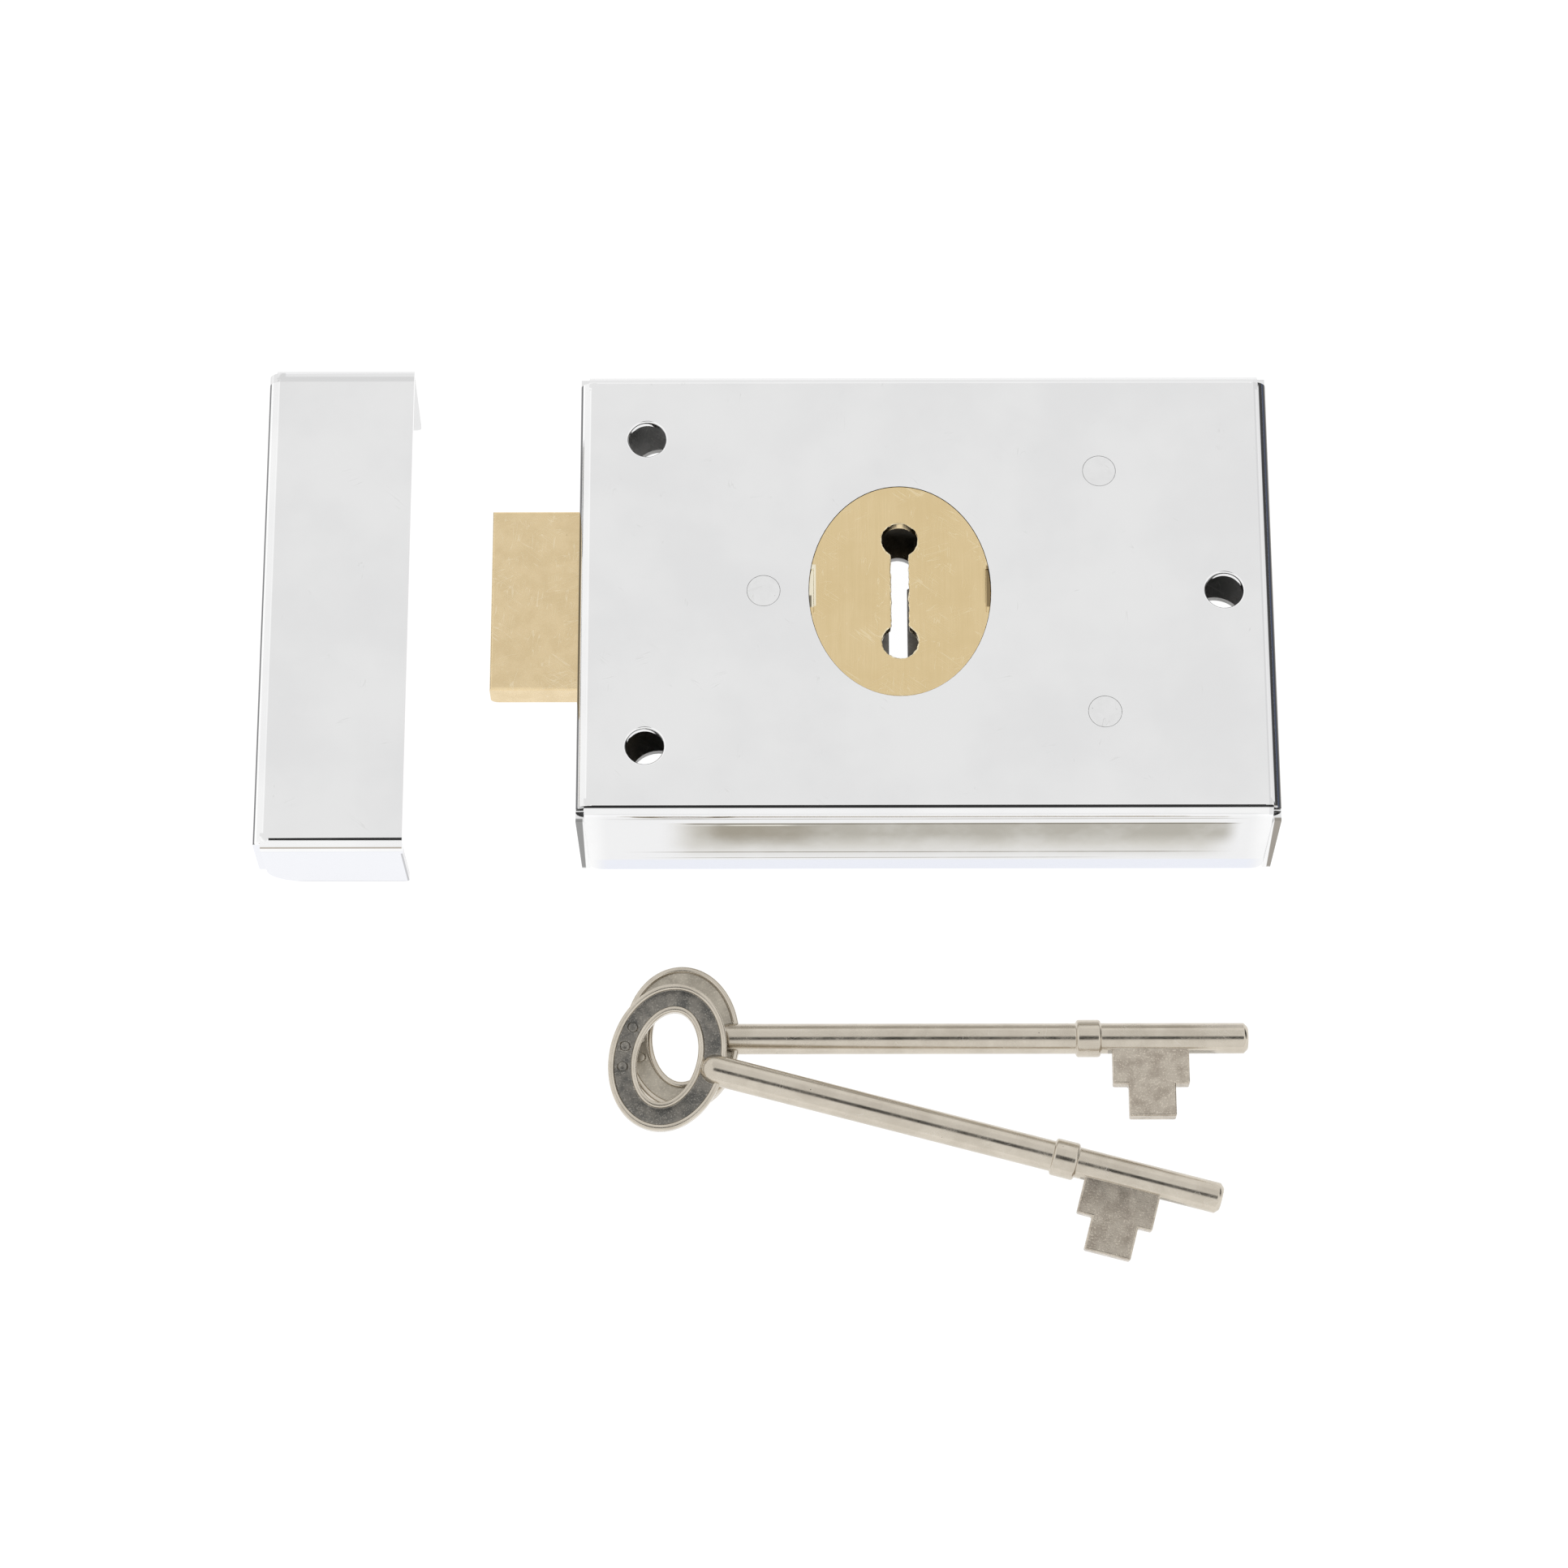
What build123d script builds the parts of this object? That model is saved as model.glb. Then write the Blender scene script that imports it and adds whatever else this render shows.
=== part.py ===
from build123d import *
import os
from math import asin, cos, pi, radians, sin, tan

# Rim deadlock set, laid out on a flat surface: lock, keep (staple) and two keys.
# Millimetres, +Z up, the surface is z = 0, the origin is the middle of the set's footprint.
# The lock lies with its open back down, so its back rim is the plane that meets the door.

# ---- where each assembly lies ----
LOCK_X, LOCK_Y = 23.63, 30.61
KEEP_X, KEEP_Y = LOCK_X - 88.1, LOCK_Y - 1.65

# ---- folded sheet: lock case ----
SHEET = 1.2
CASE_W, CASE_H, CASE_DEPTH = 103.8, 71.2, 18.0
CASE_LEAN = 6.0
CASE_END_LEAN = -1.8
BEND_RADIUS = 2.0
BEND_FLAT = 2.5
CASE_END_GAP = 1.35
END_TAPER = 0.5
CASE_BACK_CORNER = 1.6
END_WALL_CORNER = 0.8
END_WALL_PROUD = 0.2
FACE_Z = CASE_DEPTH
FACE_INNER_Z = FACE_Z - SHEET

# ---- folded sheet: keep ----
KEEP_W, KEEP_H, KEEP_DEPTH = 22.0, 78.2, 17.5
KEEP_LEAN = -4.5
KEEP_END_GAP = 1.2
KEEP_BACK_CORNER, KEEP_OPEN_CORNER = 5.5, 0.8
KEEP_SCREW_R = 2.2
KEEP_SCREW_SPACING = 50.0
KEEP_SCREW_Z = 8.0

# ---- fixing holes through the lock ----
SCREW_R = 2.8
SCREW_LEFT_X, SCREW_LEFT_Y = -41.7, 24.85
SCREW_RIGHT_X = 44.4
RIM_ROUND = 0.35

# ---- keyhole ----
KEY_AXIS_X, KEY_AXIS_Y = -3.9, 8.2
KEYHOLE_R = 2.8
KEYHOLE_SLOT = 2.8
PLATE_W, PLATE_H = 27.2, 34.0
PLATE_LIP = 2.0
PLATE_LIP_T = 0.9
STAKE_W, STAKE_H, STAKE_DEPTH = 0.8, 7.0, 0.5
FIT_GAP = 0.05

# ---- key ----
KEY_LENGTH = 91.7
BOW_W, BOW_H, BOW_T = 17.0, 22.0, 2.0
BOW_HOLE_W, BOW_HOLE_H = 8.6, 13.0
BOW_RIM = 0.9
BOW_RECESS = 0.4
SHANK_R = 2.25
SHANK_START = 13.4
COLLAR_R, COLLAR_START, COLLAR_END, COLLAR_EDGE = 2.75, 66.4, 70.05, 0.3
TIP_EDGE = 0.6
BIT_START, BIT_END, BIT_WIDE_R = 71.7, 82.95, 7.25
BIT_NARROW_START, BIT_NARROW_END = 74.0, 80.9
BIT_TIP_R = 12.2
BIT_T = 2.2
PIP_R, PIP_ANGLES = 0.75, (160, 180, 200)
BACK_KEY_Y = -65.2
BACK_KEY_TIP_X = 46.9
FRONT_KEY_TIP = (42.3, -89.65)
FRONT_KEY_TURN, FRONT_KEY_ROLL = -14.15, 7.8
FRONT_KEY_REST_GAP = 0.35

# ---- cap plate, closing the lock from behind ----
CAP_Z, CAP_T = 3.8, 1.2
CAP_W, CAP_H, CAP_CORNER = 98.6, 66.6, 3.0
CAP_TOP = CAP_Z + CAP_T
CAP_SCREW_R = 4.4
CAP_SCREW_LEFT_X, CAP_SCREW_RIGHT_X = -39.9, 44.0

# ---- pillars ----
PILLAR_LEFT_X = -24.2
PILLAR_X, PILLAR_Y = 26.2, 19.5
PILLAR_R, PILLAR_HEAD_R, PILLAR_SHOULDER_R = 2.5, 2.45, 4.0
PILLAR_TAIL_R, PILLAR_PEEN_R, PILLAR_PEEN_T = 1.8, 2.6, 0.6
SHOULDER_Z = 13.72
LEFT_SHOULDER_Z = 11.75

# ---- bolt ----
THROW = 12.5
BOLT_TIP_X = -64.9
BOLT_END_X = -43.5
BOLT_H, BOLT_Z, BOLT_T = 29.0, 9.7, 5.0
BOLT_EDGE, BOLT_BACK_EDGE = 0.4, 1.2
TAIL_Z, TAIL_T = 9.6, 2.0
TAIL_START_X = -50.3
TAIL_REBATE_GAP = 0.2
BOLT_SLOT_GAP = 0.25
BOLT_RIVET_R, BOLT_RIVET_X, BOLT_RIVET_Y = 1.5, -47.0, 7.0
SWEEP_R = BIT_TIP_R + 0.5
TALON_LIP_Y, TALON_TOP_Y, TALON_W = 18.0, 21.0, 5.0
TALON_X = KEY_AXIS_X - THROW / 2
STUMP_X, STUMP_Y, STUMP_R = -16.5, 24.2, 1.3
STUMP_Z0, STUMP_Z1 = 7.45, 13.75
GUIDE_X, GUIDE_R, GUIDE_SHOULDER_R, GUIDE_SHOULDER_Z, GUIDE_TOP = 23.5, 2.0, 3.5, 9.5, 12.4
GUIDE_GAP = 0.1

# ---- levers ----
LEVER_T = 1.8
LEVER_REAR_Z, LEVER_FRONT_Z = 7.5, 11.87
LEVER_DROP = 3.5
LEVER_BORE_R = PILLAR_R + 0.08
LEVER_BOSS_R = 4.8
BELLY_R = BIT_TIP_R + 0.15
BELLY_HALF_ANGLE = 31.0
SPACER_T = 2.45
LEVER_GATE_GAP = 0.2
LEVER_POCKETS = ((-16.3, 3.4, 28.3), (-3.8, 3.4, 27.6))
WARD_R = BIT_WIDE_R + 0.5
WARD_W, WARD_H, WARD_SLOT = 30.0, 46.0, 4.0
FRONT_WARD_Z, REAR_WARD_T = 14.4, 1.7

os.makedirs("parts", exist_ok=True)


def lock_plane(z):
    """The lock's own level at height z."""
    return Plane(origin=(LOCK_X, LOCK_Y, z))


def keep_plane(z):
    """The keep's own level at height z."""
    return Plane(origin=(KEEP_X, KEEP_Y, z))


def finish(builder, label):
    """Label the piece and write its file."""
    builder.part.label = label
    export_step(builder.part, f"parts/{label}.step")


def flap(half_span, depth, lean, outline_points, left_corner, right_corner):
    """One bent wall on the +Y side, its bend included, cut to an outline in x and z."""
    out = depth * tan(radians(lean))
    wall = SHEET / cos(radians(lean))
    inner_y = half_span + SHEET * tan(radians(lean)) - wall
    root_y = half_span - BEND_FLAT
    half = max(x for x, z in outline_points)
    with BuildPart() as bent:
        with BuildSketch(Plane.YZ) as section:
            with BuildLine():
                Polyline(
                    (root_y, depth),
                    (half_span, depth),
                    (half_span + out, 0),
                    (half_span + out - wall, 0),
                    (inner_y, depth - SHEET),
                    (root_y, depth - SHEET),
                    close=True,
                )
            make_face()
            outer = section.vertices().sort_by_distance((half_span, depth))[0]
            fillet(outer, BEND_RADIUS)
            inner = section.vertices().sort_by_distance((inner_y, depth - SHEET))[0]
            fillet(inner, BEND_RADIUS - SHEET)
        extrude(amount=half, both=True)
        with BuildSketch(Plane.XZ) as outline:
            with BuildLine():
                Polyline(*outline_points, close=True)
            make_face()
            back = outline.vertices().group_by(Axis.Y)[0].sort_by(Axis.X)
            fillet(back[0], left_corner)
            back = outline.vertices().group_by(Axis.Y)[0].sort_by(Axis.X)
            fillet(back[-1], right_corner)
        extrude(amount=2 * half_span, both=True, mode=Mode.INTERSECT)
    return bent.part


def tapered(half, depth, taper):
    """Outline of a wall that narrows by taper at each end towards the back."""
    return ((-half, depth), (half, depth), (half - taper, 0), (taper - half, 0))


def keyhole(extra=0.0):
    """Double-ended keyhole in the current sketch."""
    with Locations((KEY_AXIS_X, KEY_AXIS_Y), (KEY_AXIS_X, -KEY_AXIS_Y)):
        Circle(KEYHOLE_R + extra)
    with Locations((KEY_AXIS_X, 0)):
        Rectangle(KEYHOLE_SLOT + 2 * extra, 2 * KEY_AXIS_Y)


def screw_circles(left_x, right_x, radius):
    """The three fixing holes in the current sketch."""
    with Locations((left_x, SCREW_LEFT_Y), (left_x, -SCREW_LEFT_Y), (right_x, 0)):
        Circle(radius)


def round_face_holes(builder, radius, face_z, size):
    """Round the outer rim of every hole of one radius in the face at face_z."""
    rims = builder.edges().filter_by(GeomType.CIRCLE)
    rims = rims.filter_by(lambda e: abs(e.radius - radius) < 0.01 and abs(e.center().Z - face_z) < 0.01)
    fillet(rims, size)


# ---- lock case ----
long_outline = tapered(CASE_W / 2 - CASE_END_GAP, CASE_DEPTH, END_TAPER)
long_wall = flap(CASE_H / 2, CASE_DEPTH, CASE_LEAN, long_outline, CASE_BACK_CORNER, CASE_BACK_CORNER)
neck = CASE_H / 2 - CASE_END_GAP
shoulder = CASE_H / 2 + BEND_FLAT * tan(radians(CASE_LEAN))
foot = CASE_H / 2 + CASE_DEPTH * tan(radians(CASE_LEAN)) + END_WALL_PROUD
short_outline = (
    (-neck, CASE_DEPTH),
    (neck, CASE_DEPTH),
    (neck, CASE_DEPTH - BEND_FLAT),
    (shoulder, CASE_DEPTH - BEND_FLAT),
    (foot, 0),
    (-foot, 0),
    (-shoulder, CASE_DEPTH - BEND_FLAT),
    (-neck, CASE_DEPTH - BEND_FLAT),
)
short_wall = flap(CASE_W / 2, CASE_DEPTH, CASE_END_LEAN, short_outline, END_WALL_CORNER, END_WALL_CORNER)

with BuildPart() as case:
    with BuildSketch(lock_plane(FACE_INNER_Z)):
        Rectangle(CASE_W - 2 * BEND_FLAT, CASE_H - 2 * BEND_FLAT)
    extrude(amount=SHEET)
    add(Pos(LOCK_X, LOCK_Y) * long_wall)
    add(Pos(LOCK_X, LOCK_Y) * Rot(0, 0, 180) * long_wall)
    add(Pos(LOCK_X, LOCK_Y) * Rot(0, 0, 90) * short_wall)
    add(Pos(LOCK_X, LOCK_Y) * Rot(0, 0, -90) * short_wall)
    with BuildSketch(lock_plane(FACE_INNER_Z)):
        with Locations((KEY_AXIS_X, 0)):
            Ellipse(PLATE_W / 2, PLATE_H / 2)
        screw_circles(SCREW_LEFT_X, SCREW_RIGHT_X, SCREW_R)
        with Locations((PILLAR_LEFT_X, 0), (PILLAR_X, PILLAR_Y), (PILLAR_X, -PILLAR_Y)):
            Circle(PILLAR_HEAD_R + FIT_GAP)
    extrude(amount=SHEET, mode=Mode.SUBTRACT)
    with BuildSketch(Plane(origin=(LOCK_X, LOCK_Y, BOLT_Z + BOLT_T / 2), x_dir=(0, 1, 0), z_dir=(-1, 0, 0))):
        Rectangle(BOLT_H + 2 * BOLT_SLOT_GAP, BOLT_T + 2 * BOLT_SLOT_GAP)
    extrude(amount=CASE_W, mode=Mode.SUBTRACT)
    round_face_holes(case, SCREW_R, FACE_Z, RIM_ROUND)
finish(case, "case")

# ---- brass keyhole plate: a boss flush in the face with a lip behind it ----
with BuildPart() as keyhole_plate:
    with BuildSketch(lock_plane(FACE_INNER_Z)):
        with Locations((KEY_AXIS_X, 0)):
            Ellipse(PLATE_W / 2 - FIT_GAP, PLATE_H / 2 - FIT_GAP)
    extrude(amount=SHEET - FIT_GAP)
    with BuildSketch(lock_plane(FACE_INNER_Z - PLATE_LIP_T)):
        with Locations((KEY_AXIS_X, 0)):
            Ellipse(PLATE_W / 2 + PLATE_LIP, PLATE_H / 2 + PLATE_LIP)
    extrude(amount=PLATE_LIP_T)
    with BuildSketch(lock_plane(FACE_Z - STAKE_DEPTH)):
        with Locations((KEY_AXIS_X - PLATE_W / 2, 0), (KEY_AXIS_X + PLATE_W / 2, 0)):
            Rectangle(2 * STAKE_W, STAKE_H)
    extrude(amount=STAKE_DEPTH, mode=Mode.SUBTRACT)
    with BuildSketch(lock_plane(FACE_INNER_Z - PLATE_LIP_T)):
        keyhole()
    extrude(amount=CASE_DEPTH, mode=Mode.SUBTRACT)
finish(keyhole_plate, "keyhole_plate")

# ---- cap plate ----
with BuildPart() as cap_plate:
    with BuildSketch(lock_plane(CAP_Z)):
        RectangleRounded(CAP_W, CAP_H, CAP_CORNER)
    extrude(amount=CAP_T)
    with BuildSketch(lock_plane(CAP_Z)):
        screw_circles(CAP_SCREW_LEFT_X, CAP_SCREW_RIGHT_X, CAP_SCREW_R)
        keyhole()
        with Locations(
            (PILLAR_LEFT_X, 0), (PILLAR_X, PILLAR_Y), (PILLAR_X, -PILLAR_Y), (GUIDE_X, 0)
        ):
            Circle(PILLAR_TAIL_R + FIT_GAP)
    extrude(amount=CAP_T, mode=Mode.SUBTRACT)
finish(cap_plate, "cap_plate")


def pillar(x, y, shoulder_z):
    """Turned pillar: flush head in the face, shoulder, journal, tail peened under the cap."""
    with BuildPart() as turned:
        with BuildSketch(Plane(origin=(LOCK_X + x, LOCK_Y + y, 0), x_dir=(1, 0, 0), z_dir=(0, -1, 0))):
            with BuildLine():
                Polyline(
                    (0, FACE_Z),
                    (PILLAR_HEAD_R, FACE_Z),
                    (PILLAR_HEAD_R, FACE_INNER_Z),
                    (PILLAR_SHOULDER_R, FACE_INNER_Z),
                    (PILLAR_SHOULDER_R, shoulder_z),
                    (PILLAR_R, shoulder_z),
                    (PILLAR_R, CAP_TOP),
                    (PILLAR_TAIL_R, CAP_TOP),
                    (PILLAR_TAIL_R, CAP_Z),
                    (PILLAR_PEEN_R, CAP_Z),
                    (PILLAR_TAIL_R, CAP_Z - PILLAR_PEEN_T),
                    (0, CAP_Z - PILLAR_PEEN_T),
                    close=True,
                )
            make_face()
        revolve(axis=Axis((LOCK_X + x, LOCK_Y + y, 0), (0, 0, 1)))
    return turned


for label, x, y, shoulder_z in (
    ("pillar_left", PILLAR_LEFT_X, 0, LEFT_SHOULDER_Z),
    ("pillar_upper", PILLAR_X, PILLAR_Y, SHOULDER_Z),
    ("pillar_lower", PILLAR_X, -PILLAR_Y, SHOULDER_Z),
):
    finish(pillar(x, y, shoulder_z), label)

# ---- bolt guide post, peened into the cap plate ----
with BuildPart() as bolt_guide_post:
    with BuildSketch(Plane(origin=(LOCK_X + GUIDE_X, LOCK_Y, 0), x_dir=(1, 0, 0), z_dir=(0, -1, 0))):
        with BuildLine():
            Polyline(
                (0, GUIDE_TOP),
                (GUIDE_R, GUIDE_TOP),
                (GUIDE_R, GUIDE_SHOULDER_Z),
                (GUIDE_SHOULDER_R, GUIDE_SHOULDER_Z),
                (GUIDE_SHOULDER_R, CAP_TOP),
                (PILLAR_TAIL_R, CAP_TOP),
                (PILLAR_TAIL_R, CAP_Z),
                (PILLAR_PEEN_R, CAP_Z),
                (PILLAR_TAIL_R, CAP_Z - PILLAR_PEEN_T),
                (0, CAP_Z - PILLAR_PEEN_T),
                close=True,
            )
        make_face()
    revolve(axis=Axis((LOCK_X + GUIDE_X, LOCK_Y, 0), (0, 0, 1)))
finish(bolt_guide_post, "bolt_guide_post")

# ---- rings on the pillars: four lever spacers, and the ring the bolt's tail rides on ----
with BuildPart() as lever_spacers:
    for z in (CAP_TOP, LEVER_REAR_Z + LEVER_T + FIT_GAP):
        with BuildSketch(lock_plane(z)):
            with Locations((PILLAR_X, PILLAR_Y), (PILLAR_X, -PILLAR_Y)):
                Circle(PILLAR_SHOULDER_R)
                Circle(PILLAR_R + FIT_GAP, mode=Mode.SUBTRACT)
        extrude(amount=SPACER_T)
finish(lever_spacers, "lever_spacers")

with BuildPart() as guide_ring:
    with BuildSketch(lock_plane(CAP_TOP)):
        with Locations((PILLAR_LEFT_X, 0)):
            Circle(PILLAR_SHOULDER_R)
            Circle(PILLAR_R + FIT_GAP, mode=Mode.SUBTRACT)
    extrude(amount=GUIDE_SHOULDER_Z - CAP_TOP)
finish(guide_ring, "guide_ring")


def ward(z, thickness):
    """Ward plate: an obround ring that only the stepped bit can turn past."""
    with BuildPart() as plate:
        with BuildSketch(lock_plane(z)):
            with Locations((KEY_AXIS_X, 0)):
                SlotOverall(WARD_H, WARD_W, rotation=90)
            with Locations((KEY_AXIS_X, KEY_AXIS_Y), (KEY_AXIS_X, -KEY_AXIS_Y)):
                Circle(WARD_R, mode=Mode.SUBTRACT)
            with Locations((KEY_AXIS_X, 0)):
                Rectangle(WARD_SLOT, 2 * KEY_AXIS_Y, mode=Mode.SUBTRACT)
        extrude(amount=thickness)
    return plate


finish(ward(FRONT_WARD_Z, FACE_INNER_Z - PLATE_LIP_T - FRONT_WARD_Z), "front_ward")
finish(ward(CAP_TOP, REAR_WARD_T), "rear_ward")

# ---- bolt head: brass block with a rebate for the tail ----
head_length = BOLT_END_X - BOLT_TIP_X
with BuildPart() as bolt_head:
    with BuildSketch(lock_plane(BOLT_Z)):
        with Locations(((BOLT_TIP_X + BOLT_END_X) / 2, 0)):
            Rectangle(head_length, BOLT_H)
    extrude(amount=BOLT_T)
    tip = bolt_head.faces().sort_by(Axis.X)[0]
    fillet(tip.edges().sort_by(Axis.Z)[0], BOLT_BACK_EDGE)
    front = bolt_head.faces().sort_by(Axis.Z)[-1]
    fillet(front.edges().sort_by(Axis.X)[:-1], BOLT_EDGE)
    with BuildSketch(lock_plane(BOLT_Z)):
        with Locations((BOLT_END_X, 0)):
            Rectangle(2 * (BOLT_END_X - TAIL_START_X + TAIL_REBATE_GAP), BOLT_H)
    extrude(amount=TAIL_Z + TAIL_T - BOLT_Z, mode=Mode.SUBTRACT)
    with BuildSketch(lock_plane(BOLT_Z)):
        with Locations((BOLT_RIVET_X, BOLT_RIVET_Y), (BOLT_RIVET_X, -BOLT_RIVET_Y)):
            Circle(BOLT_RIVET_R + FIT_GAP)
    extrude(amount=BOLT_T, mode=Mode.SUBTRACT)
finish(bolt_head, "bolt_head")

# ---- bolt tail: plate with the talons, the pillar slot and the guide slot ----
with BuildPart() as bolt_tail:
    with BuildSketch(lock_plane(TAIL_Z)):
        with BuildLine():
            Polyline(
                (TAIL_START_X, 0),
                (TAIL_START_X, 12.0),
                (-36.0, 12.0),
                (-31.5, 17.0),
                (-21.0, 26.8),
                (-12.5, 26.8),
                (-8.0, 23.2),
                (9.0, 23.2),
                (9.0, 16.0),
                (13.0, 9.0),
                (15.0, 4.8),
                (28.2, 4.8),
                (28.2, 0),
            )
            mirror(about=Plane.XZ)
        make_face()
        with BuildSketch(mode=Mode.SUBTRACT):
            with Locations((TALON_X, KEY_AXIS_Y), (TALON_X, -KEY_AXIS_Y)):
                SlotCenterToCenter(THROW, 2 * SWEEP_R)
            Rectangle(2 * CASE_W, 2 * TALON_LIP_Y, mode=Mode.INTERSECT)
            with Locations((TALON_X, 0)):
                Rectangle(TALON_W, 2 * TALON_TOP_Y)
            with Locations((PILLAR_LEFT_X - THROW / 2, 0)):
                SlotCenterToCenter(THROW, 2 * (PILLAR_R + GUIDE_GAP))
            with Locations((GUIDE_X - THROW / 2, 0)):
                SlotCenterToCenter(THROW + GUIDE_GAP, 2 * (GUIDE_R + GUIDE_GAP))
            with Locations((BOLT_RIVET_X, BOLT_RIVET_Y), (BOLT_RIVET_X, -BOLT_RIVET_Y)):
                Circle(BOLT_RIVET_R + FIT_GAP)
            with Locations((STUMP_X, STUMP_Y), (STUMP_X, -STUMP_Y)):
                Circle(STUMP_R + FIT_GAP)
    extrude(amount=TAIL_T)
finish(bolt_tail, "bolt_tail")

with BuildPart() as bolt_rivets:
    with BuildSketch(lock_plane(TAIL_Z)):
        with Locations((BOLT_RIVET_X, BOLT_RIVET_Y), (BOLT_RIVET_X, -BOLT_RIVET_Y)):
            Circle(BOLT_RIVET_R)
    extrude(amount=BOLT_Z + BOLT_T - TAIL_Z)
finish(bolt_rivets, "bolt_rivets")

with BuildPart() as bolt_stumps:
    with BuildSketch(lock_plane(STUMP_Z0)):
        with Locations((STUMP_X, STUMP_Y), (STUMP_X, -STUMP_Y)):
            Circle(STUMP_R)
    extrude(amount=STUMP_Z1 - STUMP_Z0)
finish(bolt_stumps, "bolt_stumps")


def lever(z, side):
    """Lever on the upper (side 1) or lower (side -1) pillar, drawn lifted, clear of the stump."""
    reach = radians(BELLY_HALF_ANGLE)
    cusp_x = BELLY_R * sin(reach)
    cusp_y = KEY_AXIS_Y + BELLY_R * cos(reach)
    channel = STUMP_R + LEVER_GATE_GAP
    with BuildPart() as cut:
        with BuildSketch(lock_plane(z)):
            with BuildLine():
                right = Line((KEY_AXIS_X + cusp_x, cusp_y), (6.5, 21.3))
                ThreePointArc(
                    (KEY_AXIS_X - cusp_x, cusp_y),
                    (KEY_AXIS_X, KEY_AXIS_Y + BELLY_R),
                    (KEY_AXIS_X + cusp_x, cusp_y),
                )
                Polyline(
                    right @ 1,
                    (15.0, 20.8),
                    (PILLAR_X - 2.0, PILLAR_Y - LEVER_BOSS_R + 0.4),
                    (PILLAR_X, PILLAR_Y + LEVER_BOSS_R),
                    (12.0, 30.2),
                    (-21.0, 30.2),
                    (-21.0, 22.0),
                    (-14.5, 21.0),
                    (KEY_AXIS_X - cusp_x, cusp_y),
                )
            make_face()
            with Locations((PILLAR_X, PILLAR_Y)):
                Circle(LEVER_BOSS_R)
            with Locations((STUMP_X + THROW / 2, STUMP_Y)):
                SlotCenterToCenter(THROW + LEVER_GATE_GAP, 2 * channel, mode=Mode.SUBTRACT)
            for pocket_x, pocket_w, pocket_top in LEVER_POCKETS:
                height = pocket_top - STUMP_Y
                with Locations((pocket_x, STUMP_Y + height / 2)):
                    Rectangle(pocket_w, height, mode=Mode.SUBTRACT)
            with Locations((PILLAR_X, PILLAR_Y)):
                Circle(LEVER_BORE_R, mode=Mode.SUBTRACT)
            if side < 0:
                mirror(about=Plane.XZ, mode=Mode.REPLACE)
        extrude(amount=LEVER_T)
    return cut


for side_name, side in (("upper", 1), ("lower", -1)):
    for layer, z in (("front", LEVER_FRONT_Z), ("rear", LEVER_REAR_Z)):
        finish(lever(z, side), f"lever_{side_name}_{layer}")

# ---- keep: box staple, open towards the lock ----
end_outline = tapered((KEEP_W - KEEP_END_GAP) / 2, KEEP_DEPTH, 0.0)
end_wall = flap(KEEP_H / 2, KEEP_DEPTH, KEEP_LEAN, end_outline, KEEP_BACK_CORNER, KEEP_OPEN_CORNER)
lower_end_wall = mirror(end_wall, about=Plane.XZ)
back_outline = tapered(KEEP_H / 2 - KEEP_END_GAP, KEEP_DEPTH, END_TAPER)
back_wall = flap(KEEP_W / 2, KEEP_DEPTH, 0.0, back_outline, KEEP_BACK_CORNER, KEEP_BACK_CORNER)
with BuildPart() as keep:
    with BuildSketch(keep_plane(KEEP_DEPTH - SHEET)):
        with Locations((BEND_FLAT / 2, 0)):
            Rectangle(KEEP_W - BEND_FLAT, KEEP_H - 2 * BEND_FLAT)
    extrude(amount=SHEET)
    add(Pos(KEEP_X + KEEP_END_GAP / 2, KEEP_Y) * end_wall)
    add(Pos(KEEP_X + KEEP_END_GAP / 2, KEEP_Y) * lower_end_wall)
    add(Pos(KEEP_X, KEEP_Y) * Rot(0, 0, 90) * back_wall)
    with BuildSketch(Plane(origin=(KEEP_X, KEEP_Y, KEEP_SCREW_Z), x_dir=(0, 1, 0), z_dir=(-1, 0, 0))):
        with Locations((-KEEP_SCREW_SPACING / 2, 0), (KEEP_SCREW_SPACING / 2, 0)):
            Circle(KEEP_SCREW_R)
    extrude(amount=KEEP_W, mode=Mode.SUBTRACT)
finish(keep, "keep")


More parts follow.
